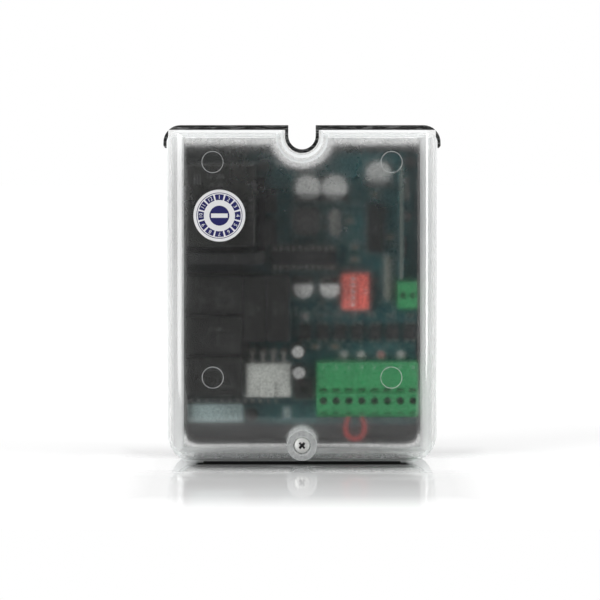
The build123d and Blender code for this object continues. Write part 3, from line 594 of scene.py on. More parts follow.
def evaluated(data):
    """A curve, or an object with its modifiers, as a bmesh; either is used up."""
    holder = data if isinstance(data, bpy.types.Object) else bpy.data.objects.new("passing", data)
    if holder is not data:
        bpy.context.scene.collection.objects.link(holder)
    graph = bpy.context.evaluated_depsgraph_get()
    mesh = bpy.data.meshes.new_from_object(holder.evaluated_get(graph))
    bm = bmesh.new()
    bm.from_mesh(mesh)
    bpy.data.meshes.remove(mesh)
    bpy.data.objects.remove(holder)
    if isinstance(data, bpy.types.Curve):
        bpy.data.curves.remove(data)
    return bm


def add_text(bm, text, size, centre, turn=0.0, material=0, depth=0.04):
    """Add raised letters that face the front, sized in millimetres and turned by degrees."""
    curve = bpy.data.curves.new("letters", "FONT")
    curve.body = str(text)
    curve.size = size * MM
    curve.extrude = depth * MM / 2
    curve.resolution_u = 2
    curve.align_x, curve.align_y = "CENTER", "CENTER"
    letters = evaluated(curve)
    place = Matrix.Translation(centre) @ FACING @ Matrix.Rotation(radians(turn), 4, "Z")
    bmesh.ops.transform(letters, matrix=place, verts=letters.verts)
    add_to(bm, letters, material)


def carved(bm, *cutters):
    """Cut other closed shapes out of one."""
    holders = []
    for shape in (bm, *cutters):
        mesh = bpy.data.meshes.new("carving")
        shape.to_mesh(mesh)
        shape.free()
        holders.append(bpy.data.objects.new("carving", mesh))
        bpy.context.scene.collection.objects.link(holders[-1])
    body, *tools = holders
    for tool in tools:
        cut = body.modifiers.new("cut", "BOOLEAN")
        cut.operation, cut.solver, cut.object = "DIFFERENCE", "EXACT", tool
    result = evaluated(body)
    for tool in tools:
        bpy.data.objects.remove(tool)
    return result


def recess_bars(centre, length, width, depth, turns):
    """Cutters of a slot or a cross in a head that faces the front, in millimetres and degrees."""
    cutters = []
    for turn in turns:
        part = bmesh.new()
        size = Matrix.Diagonal((length * MM, depth * MM, width * MM, 1))
        place = Matrix.Translation(centre) @ Matrix.Rotation(radians(turn), 4, "Y") @ size
        bmesh.ops.create_cube(part, size=1.0, matrix=place)
        deep = [v for v in part.verts if v.co.y > centre[1]]
        bmesh.ops.scale(
            part, vec=(0.45, 1, 0.7), verts=deep, space=Matrix.Translation(centre).inverted())
        cutters.append(part)
    return cutters


def threads(crest, root, pitch, start, end):
    """Profile points of evenly spaced thread ridges, in millimetres."""
    points = []
    height = start
    while height + pitch <= end:
        points += [(root, height), (crest, height + pitch * 0.45), (crest, height + pitch * 0.55)]
        height += pitch
    return points + [(root, height)]


def solids(node):
    """The low and high corners of a CAD node's separate solids, from left to right."""
    bm = node_copy(node, False)
    left = set(bm.verts)
    found = []
    while left:
        group = [left.pop()]
        for vert in group:
            for edge in vert.link_edges:
                other = edge.other_vert(vert)
                if other in left:
                    left.discard(other)
                    group.append(other)
        low = Vector([min(v.co[i] for v in group) for i in range(3)])
        high = Vector([max(v.co[i] for v in group) for i in range(3)])
        found.append((low, high))
    bm.free()
    return sorted(found, key=lambda pair: (round(pair[0].x, 5), round(pair[0].z, 5)))


def foot_of(low, high):
    """The middle of a box's rear face."""
    return Vector(((low.x + high.x) / 2, high.y, (low.z + high.z) / 2))


def span(low, high):
    """A box's middle from left to right and from bottom to top, and its depth, in millimetres."""
    return (low.x + high.x) / 2 / MM, (low.z + high.z) / 2 / MM, (high.y - low.y) / MM


def body_of(node):
    """The moving body that a CAD node belongs to."""
    return frame["nodes"][node].parent.name.split(":")[1]


def over_board(x, z, height=0.0):
    """A point over the circuit board, from millimetres."""
    return Vector((x * MM, BOARD_FRONT - height * MM, z * MM))


# Cover and its fittings

class CONTROLPANEL_OT_cover(bpy.types.Operator):
    """Add the clear cover, polished outside and frosted inside, its rear rim face painted dark as shade
    with painted highlights
    """

    bl_idname = "controlpanel.cover"
    bl_label = "Clear cover"

    # The numbers of the looks, in the order in which execute makes them
    polished, front_wall, side_wall, rear_edge, boss_wall, satin, bottom_wall = range(7)
    rim_proud = 1.9 * MM
    channel_drop = 4.4 * MM
    channel_band = 6.8 * MM
    channel_half, channel_foot = 10.5 * MM, 110 * MM
    boss_height, boss_reach = 7.3 * MM, 6.2 * MM
    bottom_top, bottom_half = 12 * MM, 42 * MM

    def execute(self, context):
        settings = context.scene.panel_cover
        tint, frost = tuple(settings.tint), settings.frost
        looks = (
            cover_plastic("cover polished outside", tint, 0, 0),
            cover_plastic("cover frosted front wall", tint, frost, settings.haze, slant=0.45),
            cover_plastic("cover frosted side walls", tint, 0.45, settings.side_haze,
                          chalk=0.7, passing=0.9, sanding=0.3),
            rim_edge("cover rim rear face"),
            cover_plastic("cover frosted screw boss", tint, frost, 0.9, chalk=0.7),
            cover_plastic("cover satin outer walls", tint, 0.14, 0.03,
                          chalk=0.85, passing=0.97, slant=0.97, sanding=0.3),
            cover_plastic("cover frosted bottom wall", tint, frost, 0.2,
                          chalk=0.6, passing=0.8, slant=0.3),
        )
        bm = node_copy("clear_cover")
        low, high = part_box("clear_cover")
        channel = Vector((0, 0, high.z - self.channel_drop))
        self.score_rear(bm, low, high, channel)
        bevel_sharp(bm, settings.edge, 1)
        shell = BVHTree.FromBMesh(bm)
        for face in bm.faces:
            face.material_index = self.look_of(face, shell, low, high, channel)
        piece("cover", bm, looks, replaces=("clear_cover",))
        return {"FINISHED"}

    def score_rear(self, bm, low, high, channel):
        """Part the rear face where the rim and the notch's band stand proud of the walls."""
        cuts = [
            ((0, 0, high.z - self.rim_proud), (0, 0, 1)),
            ((high.x - self.rim_proud, 0, 0), (1, 0, 0)),
            ((low.x + self.rim_proud, 0, 0), (-1, 0, 0)),
        ]
        for turn in range(0, 181, 15):
            toward = Vector((cos(radians(turn)), 0, -sin(radians(turn))))
            cuts.append((channel + toward * self.channel_band, toward))
        for place, normal in cuts:
            rear = [f for f in bm.faces if min(v.co.y for v in f.verts) > high.y - HAIR]
            edges = {e for f in rear for e in f.edges}
            verts = {v for f in rear for v in f.verts}
            cut_plane(bm, place, normal, rear + list(edges) + list(verts))

    def look_of(self, face, shell, low, high, channel):
        """The number of a face's look, from where it is and whether it looks into the box."""
        centre, normal = face.calc_center_median(), face.normal
        proud = centre.z > high.z - self.rim_proud or abs(centre.x) > high.x - self.rim_proud
        proud = proud or (centre - channel).xz.length < self.channel_band
        # The rear faces of the rim and of the notch's band take the painted dark shade
        if centre.y > high.y - HAIR and normal.y > 0.9 and proud:
            return self.rear_edge
        boss = hypot(centre.x, centre.z - self.boss_height) < self.boss_reach
        boss = boss and centre.y > low.y + 0.3 * MM
        if abs(centre.x) < self.channel_half and centre.z > self.channel_foot:
            inward = normal.dot(centre - Vector((0, 0, high.z))) > 0
        else:
            inward = shell.ray_cast(centre + normal * 0.05 * MM, normal)[0] is not None
            inward = inward or boss or (normal.y > 0.5 and centre.y < 0)
        if not inward:
            return self.satin if abs(normal.y) < 0.8 else self.polished
        if boss:
            return self.boss_wall
        if abs(normal.y) > 0.96:
            return self.front_wall
        bottom = normal.z > 0.6 and centre.z < self.bottom_top and abs(centre.x) < self.bottom_half
        return self.bottom_wall if bottom else self.side_wall


class CONTROLPANEL_OT_ejector_marks(bpy.types.Operator):
    """Add the four round ejector marks on the cover's inner face, as pale rings that are painted
    highlights on their edges
    """

    bl_idname = "controlpanel.ejector_marks"
    bl_label = "Ejector marks"

    columns, rows = (-35, 35), (34, 118.4)
    wall, radius, line = 2.02, 4.05, 0.2

    def execute(self, context):
        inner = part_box("clear_cover")[0].y + self.wall * MM
        # Each mark is a thin pale ring: a painted highlight where its edge catches the light
        ring = washer(self.radius, self.radius + self.line, 0, 0.1)
        bm = bmesh.new()
        for x in self.columns:
            for z in self.rows:
                add_turned(bm, ring, (x * MM, inner, z * MM), 64, axis=(0, 1, 0))
        piece("ejector_marks", bm, "ejector mark edge")
        return {"FINISHED"}


class CONTROLPANEL_OT_date_sticker(bpy.types.Operator):
    """Add the round date sticker with its ring of twelve numbers and its blank middle band"""

    bl_idname = "controlpanel.date_sticker"
    bl_label = "Date sticker"

    # Radii in millimetres, then the thickness of the sheet and of its ink, and the band's size
    hub, field_inner, number_ring, field_outer, rim_inner, rim_outer = 3.9, 6.1, 7.2, 8.35, 8.75, 9.0
    sheet, ink = 0.13, 0.012
    band_half, band_height, band_lift, band_depth = 2.4, 1.7, 0.015, 0.006
    fields = 12
    field_half_angle = radians(12.6)
    # The numbers of the print's looks
    blue, paper = range(2)

    def execute(self, context):
        low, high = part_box("date_sticker")
        radius = (high.x - low.x) / 2 / MM
        back = foot_of(low, high)
        disc = [(0, 0), (radius, 0), (radius, 0.09), (radius - 0.06, self.sheet), (0, self.sheet)]
        piece("sticker_sheet", turned(disc, back, 96), "sticker paper",
              replaces=("date_sticker",))
        face = back - Vector((0, self.sheet * MM, 0))
        bm = bmesh.new()
        for number in range(self.fields):
            self.add_number(bm, face, number)
        add_turned(bm, washer(self.rim_inner, self.rim_outer, 0, self.ink), face, 96)
        add_turned(bm, rod(self.hub, 0, self.ink), face, 64)
        band = face - Vector((0, self.band_lift * MM, 0))
        reach = Vector((self.band_half * MM, 0, 0))
        add_bar(bm, band - reach, band + reach, self.band_height * MM, self.band_depth * MM, self.paper)
        piece("sticker_print", bm, ("blue ink", "sticker paper"), weighted=False)
        return {"FINISHED"}

    def add_number(self, bm, face, number):
        """One blue field of the ring, cut to its share of the turn, with its number on it."""
        angle = radians(90 - number * 360 / self.fields)
        part = turned(washer(self.field_inner, self.field_outer, 0, self.ink), face, 96)
        for side in (-1, 1):
            edge = angle + side * self.field_half_angle
            normal = Vector((-sin(edge), 0, cos(edge))) * side
            cut_plane(part, face, normal, clear_outer=True)
        toward = Vector((cos(angle), 0, sin(angle)))
        far = [v for v in part.verts if (v.co - face).dot(toward) < 0]
        bmesh.ops.delete(part, geom=far, context="VERTS")
        add_to(bm, part, self.blue)
        spot = face + toward * self.number_ring * MM - Vector((0, self.ink * MM, 0))
        add_text(bm, number + 1, 2.1, spot, degrees(angle) - 90, self.paper, 0.01)


class CONTROLPANEL_OT_cover_screw(bpy.types.Operator):
    """Add the cover's long screw, its cross recess painted dark as shade, and the rings of the boss
    round its head, the pale ones painted edge highlights
    """

    bl_idname = "controlpanel.cover_screw"
    bl_label = "Cover screw"

    head, recess = 2.4, 1.75
    # The numbers of the rings' looks; the light rings are painted highlights on the boss's edges
    haze, light = range(2)

    def execute(self, context):
        low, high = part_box("cover_screw")
        foot = foot_of(low, high)
        length = (high.y - low.y) / MM
        under = length - self.head
        profile = [(0, 0), (1.2, 0)] + threads(1.75, 1.45, 0.7, 0.6, 14.0)
        profile += [(1.95, 15.0), (1.95, under), (3.0, under), (3.1, under + 0.15),
                    (3.1, under + 1.6), (2.98, under + 1.95), (2.6, under + 2.2),
                    (1.6, under + 2.36), (0, length)]
        mouth = Vector((foot.x, low.y + 0.4 * MM, foot.z))
        bm = carved(turned(profile, foot), *recess_bars(mouth, 3.4, 1.0, 1.7, (45, 135)))

        # Faces inside the cross recess take blackened steel: painted shade in the zinc head's recess
        def in_recess(centre, normal):
            away = hypot(centre.x - foot.x, centre.z - foot.z) / MM
            skin = low.y + (0.05 + 0.03 * away * away) * MM
            return away < self.recess and skin < centre.y < low.y + 2 * MM

        sort_faces(bm, in_recess)
        dressed("cover_screw", bm, ("satin zinc", "blackened steel"))
        self.add_boss_rings((foot.x, low.y, foot.z))
        return {"FINISHED"}

    def add_boss_rings(self, place):
        bm = bmesh.new()
        add_turned(bm, washer(3.5, 5.75, 0, 0.02), place, 64)
        # Thin pale rings at the boss's edges: painted highlights
        for radius, look in ((3.45, self.light), (4.6, self.haze), (5.75, self.light)):
            add_turned(bm, washer(radius, radius + 0.12, -0.05, 0.06), place, 64, look)
        looks = (milky("boss flow marks"), "boss edge light")
        piece("boss_rings", bm, looks, weighted=False)


class CONTROLPANEL_OT_board_screws(bpy.types.Operator):
    """Add the three screws that hold the board"""

    bl_idname = "controlpanel.board_screws"
    bl_label = "Board screws"

    head = 1.9

    def execute(self, context):
        bm = bmesh.new()
        for number, (low, high) in enumerate(solids("board_screws")):
            foot = foot_of(low, high)
            length = (high.y - low.y) / MM
            under = length - self.head
            profile = [(0, 0), (0.9, 0)] + threads(1.4, 1.15, 0.5, 0.4, under - 0.6)
            profile += [(1.4, under), (2.6, under), (2.7, under + 0.15), (2.65, under + 0.9),
                        (2.2, under + 1.5), (1.4, under + 1.82), (0, length)]
            mouth = Vector((foot.x, low.y + 0.35 * MM, foot.z))
            turn = 20 + 37 * number
            cut = recess_bars(mouth, 3.0, 0.7, 1.3, (turn, turn + 90))
            add_to(bm, carved(turned(profile, foot, 32), *cut), 0)
        dressed("board_screws", bm, "blackened steel")
        return {"FINISHED"}


class CONTROLPANEL_OT_carrier_tray(bpy.types.Operator):
    """Add the black tray with softened edges and a moulded grain"""

    bl_idname = "controlpanel.carrier_tray"
    bl_label = "Carrier tray"

    def execute(self, context):
        softened("carrier_tray", "black tray plastic", 0.2 * MM, 1)
        return {"FINISHED"}


# Circuit board

CUBE_RELAYS = [f"cube_relay_{number}" for number in (1, 2, 3)]
SLIM_RELAYS = [f"slim_relay_{number}" for number in (1, 2)]
FILTER_CANS = [f"filter_capacitor_{number}" for number in (1, 2, 3)]
OUTPUT_CANS = [f"output_capacitor_{number}" for number in (1, 2)]


class CONTROLPANEL_OT_circuit_board(bpy.types.Operator):
    """Add the board with its tracks, solder joints and white print"""

    bl_idname = "controlpanel.circuit_board"
    bl_label = "Circuit board"

    def execute(self, context):
        softened("circuit_board", ("solder mask", "cut laminate"), 0.12 * MM, 1,
                 lambda centre, normal: abs(normal.y) < 0.5)
        self.add_tracks()
        self.add_joints()
        self.add_print()
        return {"FINISHED"}

    def add_tracks(self):
        bm = bmesh.new()
        height = 0.03

        def track(width, *points):
            places = [over_board(*point, height / 2) for point in points]
            for here, there in zip(places, places[1:]):
                add_bar(bm, here, there, width * MM, height * MM)

        # From the terminal's poles to the isolating chips, and on over them
        poles = [span(*ends)[0] for ends in solids("terminal_contacts")]
        chips = [span(*ends)[0] for ends in solids("optocouplers")]
        for number, (pole, chip) in enumerate(zip(poles[1:], chips)):
            level = 39.6 + 0.75 * number
            track(0.6, (pole, 38.7), (pole, level), (chip - 1.3, level + 1.2), (chip - 1.3, 46.2))
            track(0.4, (chip + 1.3, 54.2), (chip + 1.3, 55.4), (chip + 2.4, 56.5))
        # Wide ones from the power connector to the slim relays
        for number, x in enumerate((-19.8, -15.6, -11.4, -7.2)):
            turn = 45.2 - number * 0.9
            track(1.6, (x, 43), (x, turn), (x - 2.5, turn + 2.5))
        # Along the lower edge to the push button, and the copper field below it
        for n in range(6):
            z = 14.6 + 1.1 * n
            track(0.45, (-44, z), (n - 6, z), (n - 3, z + 3), (n - 3, 24))
        add_block(bm, over_board(-8.4, 13.9, 0.05), over_board(5.6, 20.6))
        # From the long chip and from the switch block to the upright chip
        for n in range(8):
            z = 87.6 + 1.1 * n
            track(0.35, (4.5 + n * 0.5, 85.6), (9.5, z - 1), (22.5, z), (24.6, z))
        for n in range(5):
            x = 17.0 + 1.3 * n
            track(0.35, (x, 74.2), (x, 79 + n), (x + 3, 82 + n), (25.0, 82 + n))
        piece("board_tracks", bm, "masked copper", weighted=False)

    def add_joints(self):
        bm = bmesh.new()
        cone = [(0, 0), (1.5, 0), (1.35, 0.12), (0.95, 0.45), (0.7, 1.0), (0.55, 1.1), (0, 1.1)]
        ring = [(0.25, 0), (0.6, 0), (0.55, 0.07), (0.3, 0.07), (0.25, 0)]
        for low, high in solids("power_pins"):
            add_turned(bm, cone, over_board(span(low, high)[0], high.z / MM - 0.6), 20)
        # Rings of solder: two fields of them, a row over the lower edge and a column
        spots = [(x, z) for x in (-2.5, 5.5, 9.5, 15.2, 21.5) for z in (57.2, 59.4, 86.9, 102.0)]
        spots += [(x, z) for x in (17.5, 20.2, 22.9) for z in (86.0, 89.4, 97.8, 105.5, 109.0)]
        spots += [(-44.5 + 3.1 * n, 22.4) for n in range(12)]
        spots += [(37.0, 56 + 2.1 * n) for n in range(12)]
        for x, z in spots:
            add_turned(bm, ring, over_board(x, z), 12)
        piece("board_solder", bm, "tinned metal")

    def add_print(self):
        bm = bmesh.new()
        rise, depth, line = 0.02, 0.02, 0.18 * MM

        def outline(low, high, beside, above, width=line):
            grown = Vector((beside * MM, 0, above * MM))
            low, high = low - grown, high + grown
            low.y = BOARD_FRONT - rise * MM
            add_outline(bm, low, high, width, depth * MM)

        for node in ("logic_chip", "power_inductor", "crystal", "resistor_pack", "switch_body",
                     "button_body", "power_connector", "microcontroller_socket"):
            outline(*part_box(node), 0.7, 0.7)
        for node in ("chip_resistors", "chip_capacitors"):
            for ends in solids(node):
                outline(*ends, 0.5, 0.35, line * 0.8)
        for node in FILTER_CANS + OUTPUT_CANS:
            outline(*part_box(node), 0.4, 0.4)
        for ends in solids("status_lamps"):
            add_turned(bm, washer(1.9, 2.1, 0, 0.03), over_board(*span(*ends)[:2]), 24)
        # Numbers over the terminal's poles, beside the switches and beside other parts
        marks = [(n + 1, 1.9, span(*ends)[0], 44.6)
                 for n, ends in enumerate(solids("terminal_contacts"))]
        marks += [(n + 1, 1.6, 28.6, 61.4 + 2.54 * n) for n in range(5)]
        spots = ((22.4, 103.6), (8.9, 98.9), (8.9, 89.2), (-2.2, 57.2), (30.8, 62.0), (6.4, 26.6),
                 (24.0, 112.0), (20.9, 107.0))
        marks += [(n + 1, 1.8, x, z) for n, (x, z) in enumerate(spots)] + [("ON", 1.8, 17.6, 75.6)]
        for text, size, x, z in marks:
            add_text(bm, text, size, over_board(x, z, rise), depth=depth)
        # Two pale fields at the lower edge, and nine numbers on the long one
        label = 0.07
        add_block(bm, over_board(-46.2, 13.9, label), over_board(-23.6, 21.0))
        add_block(bm, over_board(-7.6, 15.4, label), over_board(-4.6, 19.8))
        for n in range(9):
            add_text(bm, n + 1, 1.7, over_board(-43.6 + 2.2 * n, 17.4, 0.08), material=1, depth=depth)
        piece("board_print", bm, ("white ink", "black ink"), weighted=False)


class CONTROLPANEL_OT_relays(bpy.types.Operator):
    """Add the six relays, their vent nubs and plain rating numbers"""

    bl_idname = "controlpanel.relays"
    bl_label = "Relays"

    def execute(self, context):
        edge = context.scene.panel_board.edge
        nubs, marks = bmesh.new(), bmesh.new()
        nub = [(0, 0), (0.8, 0), (0.8, 0.12), (0.6, 0.22), (0.35, 0.22), (0.3, 0.1), (0, 0.1)]
        inset = 2.2 * MM
        for node in ["power_relay"] + CUBE_RELAYS + SLIM_RELAYS:
            look = "power relay case" if node == "power_relay" else "relay case"
            softened(node, look, edge)
            low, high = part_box(node)
            add_turned(nubs, nub, (high.x - inset, low.y, low.z + inset), 20)
            self.add_marks(marks, node, low, high)
        piece("relay_vents", nubs, "relay case")
        piece("relay_marks", marks, "grey ink", weighted=False)
        return {"FINISHED"}

    def add_marks(self, bm, node, low, high):
        x, z, _ = span(low, high)
        if node == "power_relay":
            rows = [("16  250", 2.3, -34.0, 112.6, 0), ("10  30", 2.3, -34.0, 109.4, 0),
                    ("16  250  50  60", 1.9, -20.3, 99.0, -90), ("5  24  12", 1.9, -22.6, 99.0, -90)]
            bars = [(x, 109.6, x, 113.4) for x in (-42.2, -41.1, -40.0)]
        elif node in CUBE_RELAYS:
            rows = [("10  250", 1.9, x, z + 2.6, 0), ("12", 2.4, x - 5, z - 2, 0)]
            bars = [(x + 1, z - 4, x + 7, z - 4), (x + 7, z - 4, x + 7, z), (x + 7, z, x + 1, z),
                    (x + 1, z, x + 1, z - 4)]
        else:
            rows = [("5  250", 2.0, x - 1.4, z, -90), ("24", 2.0, x + 1.6, z, -90)]
            bars = []
        face = low.y - 0.02 * MM
        width = (0.3 if node == "power_relay" else 0.2) * MM
        for text, size, x, z, turn in rows:
            add_text(bm, text, size, (x * MM, face, z * MM), turn)
        for x, z, far_x, far_z in bars:
            add_bar(bm, (x * MM, face, z * MM), (far_x * MM, face, far_z * MM), width, 0.03 * MM)


class CONTROLPANEL_OT_power_stage(bpy.types.Operator):
    """Add the flat rectifier, the heat sink strip and its two transistors"""

    bl_idname = "controlpanel.power_stage"
    bl_label = "Power stage"

    lead_height = 2.99 * MM

    def execute(self, context):
        def is_lead(centre, normal):
            return centre.y > BOARD_FRONT - self.lead_height

        looks = ("chip epoxy", "tinned metal")
        edge = context.scene.panel_board.edge
        softened("bridge_rectifier", looks, edge, sort=is_lead)
        softened("heat_sink", "black anodised aluminium", 0.15 * MM)
        softened("power_transistors", looks, 0.12 * MM, sort=is_lead)
        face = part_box("bridge_rectifier")[0].y - 0.02 * MM
        bm = bmesh.new()
        for number, sign in enumerate("+12-"):
            add_text(bm, sign, 2.2, ((-41.5 + 7.6 * number) * MM, face, 80.2 * MM))
        piece("rectifier_marks", bm, "grey ink", weighted=False)
        return {"FINISHED"}


class CONTROLPANEL_OT_can_capacitors(bpy.types.Operator):
    """Add the five can capacitors: turned cans on chamfered feet, each with a marked side"""

    bl_idname = "controlpanel.can_capacitors"
    bl_label = "Can capacitors"

    # The numbers of a can's looks
    can, mark, foot, lead = range(4)

    def execute(self, context):
        for node in FILTER_CANS:
            self.add_can(node, radius=5.0, mark_side=-1, mark_start=0.45, ink="faded ink")
        for node in OUTPUT_CANS:
            self.add_can(node, radius=4.0, mark_side=1, mark_start=0.4, ink="black ink")
        return {"FINISHED"}

    def add_can(self, node, radius, mark_side, mark_start, ink):
        low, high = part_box(node)
        x, z, tall = span(low, high)
        profile = [
            (0, 1.5), (radius - 0.5, 1.5), (radius - 0.1, 1.7), (radius, 2.0), (radius, 2.3),
            (radius - 0.35, 2.7), (radius - 0.35, 2.9), (radius, 3.3), (radius, tall - 0.55),
            (radius - 0.12, tall - 0.2), (radius - 0.45, tall), (radius - 0.75, tall),
            (radius - 0.95, tall - 0.12), (0, tall - 0.12),
        ]
        bm = turned(profile, over_board(x, z), 48)
        line = z + mark_side * radius * mark_start
        cut_plane(bm, over_board(x, line), (0, 0, 1))

        def look_of(centre, normal):
            marked = (centre.z / MM - line) * mark_side > 0 and centre.y < low.y + 0.6 * MM
            return self.mark if marked else self.can

        sort_faces(bm, look_of)
        half = (high.x - low.x) / 2 / MM
        foot = bmesh.new()
        add_block(foot, over_board(x - half, z - half, 1.55), over_board(x + half, z + half, 0.1))
        corners = []
        for edge in foot.edges:
            one, two = (v.co for v in edge.verts)
            upright = abs(one.x - two.x) + abs(one.z - two.z) < MM
            if upright and (one.z / MM - z) * mark_side < 0:
                corners.append(edge)
        bevel(foot, corners, 1.9 * MM, 1)
        bevel_sharp(foot, 0.1 * MM, 1)
        add_to(bm, foot, self.foot)
        for side in (-1, 1):
            left, right = sorted((x + side * (half - 1.8), x + side * half))
            add_block(bm, over_board(left, z - 0.45, 0.14), over_board(right, z + 0.45),
                      self.lead, 0.03 * MM, 1)
        looks = ("drawn aluminium", ink, "relay case", "tinned metal")
        dressed(node, bm, looks)


class CONTROLPANEL_OT_timing_capacitors(bpy.types.Operator):
    """Add the two slim capacitors with black sleeves, pale stripes and scored tops"""

    bl_idname = "controlpanel.timing_capacitors"
    bl_label = "Slim capacitors"

    # The numbers of a capacitor's looks
    sleeve, top, stripe, score = range(4)

    def execute(self, context):
        for node in ("timing_capacitor_1", "timing_capacitor_2"):
            low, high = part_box(node)
            x, z, tall = span(low, high)
            radius = (high.x - low.x) / 2 / MM
            profile = [
                (0, 0), (radius - 0.3, 0), (radius, 0.35), (radius, 1.6), (radius - 0.35, 2.0),
                (radius - 0.35, 2.3), (radius, 2.8), (radius, tall - 0.3), (radius - 0.2, tall),
                (radius - 0.6, tall), (radius - 0.7, tall - 0.12), (0, tall - 0.12),
            ]
            bm = turned(profile, over_board(x, z))

            def look_of(centre, normal):
                right, up = centre.x / MM - x, centre.z / MM - z
                if centre.y < low.y + 0.2 * MM and hypot(right, up) < radius - 0.55:
                    return self.top
                return self.stripe if abs(degrees(atan2(up, right))) > 160 else self.sleeve

            sort_faces(bm, look_of)
            spot = over_board(x, z, tall - 0.11)
            for turn in (45, 135):
                reach = Vector((cos(radians(turn)), 0, sin(radians(turn)))) * 1.5 * MM
                add_bar(bm, spot - reach, spot + reach, 0.14 * MM, 0.03 * MM, self.score)
            looks = ("relay case", "drawn aluminium", "grey ink", "black ink")
            dressed(node, bm, looks)
        return {"FINISHED"}


class CONTROLPANEL_OT_coil(bpy.types.Operator):
    """Add the square coil with its drum core and wire"""

    bl_idname = "controlpanel.coil"
    bl_label = "Coil"

    # The numbers of the core's looks after the drum's own
    wire, ink = 1, 2

    def execute(self, context):
        softened("power_inductor", "ferrite", 0.4 * MM)
        x, z, tall = span(*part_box("power_inductor"))
        place = over_board(x, z)
        drum = [(0, 2.5), (3.3, 2.5), (3.3, tall - 0.25), (3.1, tall - 0.1), (0, tall - 0.1)]
        winding = [(3.3, 3.0), (4.0, 3.0), (4.05, 4.0), (3.95, tall - 0.9), (3.3, tall - 0.8),
                   (3.3, 3.0)]
        core = turned(drum, place)
        add_turned(core, winding, place, material=self.wire)
        add_text(core, 15, 2.6, over_board(x, z, tall - 0.09), material=self.ink, depth=0.03)
        piece("coil_core", core, ("ferrite", "winding wire", "grey ink"))
        return {"FINISHED"}


CHIP_LOOKS = ("chip epoxy", "tinned metal", "grey ink")
CHIP_BODY, CHIP_LEAD, CHIP_PRINT = range(3)


def add_chip(node, pins, along, mark):
    """A chip along an axis: a tapered body, end notch, dimple and a row of leads on each side."""
    bm = bmesh.new()
    low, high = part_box(node)
    body_half = 3.2 * MM
    middle = (low + high) / 2
    across = 2 - along
    body_low, body_high = low.copy(), high.copy()
    body_low[across], body_high[across] = middle[across] - body_half, middle[across] + body_half
    tall = high.y - low.y
    body_high.y = high.y - 0.12 * tall
    body = bmesh.new()
    add_block(body, body_low, body_high)
    front = [v for v in body.verts if v.co.y < middle.y]
    taper = [1, 1, 1]
    taper[across] = 0.93
    bmesh.ops.scale(body, vec=taper, verts=front, space=Matrix.Translation(middle).inverted())
    bevel_sharp(body, 0.12 * MM, 1)
    end = middle.copy()
    end[along] = high[along] if along else low[along]
    end.y = body_low.y + 0.2 * MM
    notch = turned(rod(0.8, 0, 1.0), end, 20)
    dimple = end.copy()
    dimple[along] += (-1.3 if along else 1.3) * MM
    dimple[across] -= body_half * 0.55
    dot = turned(rod(0.45, 0.1, 1.0), dimple, 16)
    add_to(bm, carved(body, notch, dot), CHIP_BODY)
    first = middle[along] - PIN_PITCH * (pins - 1) / 2
    shoulder = low.y + tall * 0.45
    for number in range(pins):
        place = first + PIN_PITCH * number
        for side in (-1, 1):
            inner = middle[across] + side * body_half * 0.95
            outer = (high if side > 0 else low)[across]
            bend = outer - side * 0.25 * MM
            for wide, top, bottom, edge in (
                (1.3, shoulder, shoulder + 0.25 * MM, inner),
                (1.3, shoulder, shoulder + tall * 0.25, bend),
                (0.5, shoulder + tall * 0.2, high.y, bend),
            ):
                one, two = Vector((0, top, 0)), Vector((0, bottom, 0))
                one[along], two[along] = place - wide * MM / 2, place + wide * MM / 2
                one[across], two[across] = sorted((edge, outer))
                add_block(bm, one, two, CHIP_LEAD)
    spot = Vector((middle.x, body_low.y - PRINT_GAP, middle.z))
    add_text(bm, mark, 1.9, spot, 90 if along else 0, CHIP_PRINT)
    dressed(node, bm, CHIP_LOOKS)


class CONTROLPANEL_OT_chips(bpy.types.Operator):
    """Add the socketed chip, the upright chip and the row of isolating chips"""

    bl_idname = "controlpanel.chips"
    bl_label = "Chips"

    def execute(self, context):
        add_chip("microcontroller", pins=10, along=0, mark="20 18 04")
        add_chip("logic_chip", pins=8, along=2, mark="16 03")
        row = bmesh.new()
        for low, high in solids("optocouplers"):
            self.add_isolator(row, low, high)
        dressed("optocouplers", row, CHIP_LOOKS)
        self.add_socket()
        return {"FINISHED"}

    def add_isolator(self, bm, low, high):
        middle = (low + high) / 2
        half = 2.9 * MM
        part = bmesh.new()
        add_block(part, (low.x, low.y, middle.z - half), (high.x, high.y - 0.4 * MM, middle.z + half))
        bevel_sharp(part, 0.18 * MM, 1)
        corner = Vector((low.x + 1.0 * MM, low.y + 0.15 * MM, middle.z + 1.9 * MM))
        add_to(bm, carved(part, turned(rod(0.45, 0, 1.0), corner, 16)), CHIP_BODY)
        step, thick = middle.y + 0.2 * MM, 0.25 * MM
        for x in (middle.x - PIN_PITCH / 2, middle.x + PIN_PITCH / 2):
            for side, outer in ((-1, low.z), (1, high.z)):
                near, far = sorted((middle.z + side * (half - 0.2 * MM), outer))
                add_block(bm, (x - 0.6 * MM, step, near), (x + 0.6 * MM, step + thick, far), CHIP_LEAD)
                near, far = sorted((outer, outer - side * thick))
                add_block(bm, (x - 0.3 * MM, step, near), (x + 0.3 * MM, high.y, far), CHIP_LEAD)
        spot = (middle.x, low.y - PRINT_GAP, middle.z - 0.6 * MM)
        add_text(bm, 17, 1.8, spot, material=CHIP_PRINT)

    def add_socket(self):
        low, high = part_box("microcontroller_socket")
        softened("microcontroller_socket", "chip epoxy", 0.15 * MM)
        bm = bmesh.new()
        ring = [(0.3, 0), (0.62, 0), (0.62, 0.12), (0.5, 0.16), (0.3, 0.05), (0.3, 0)]
        for number in range(10):
            x = (low.x + high.x) / 2 + (number - 4.5) * PIN_PITCH
            for z in (low.z + 0.75 * MM, high.z - 0.75 * MM):
                add_turned(bm, ring, (x, low.y, z), 14)
        piece("socket_contacts", bm, "tinned metal")


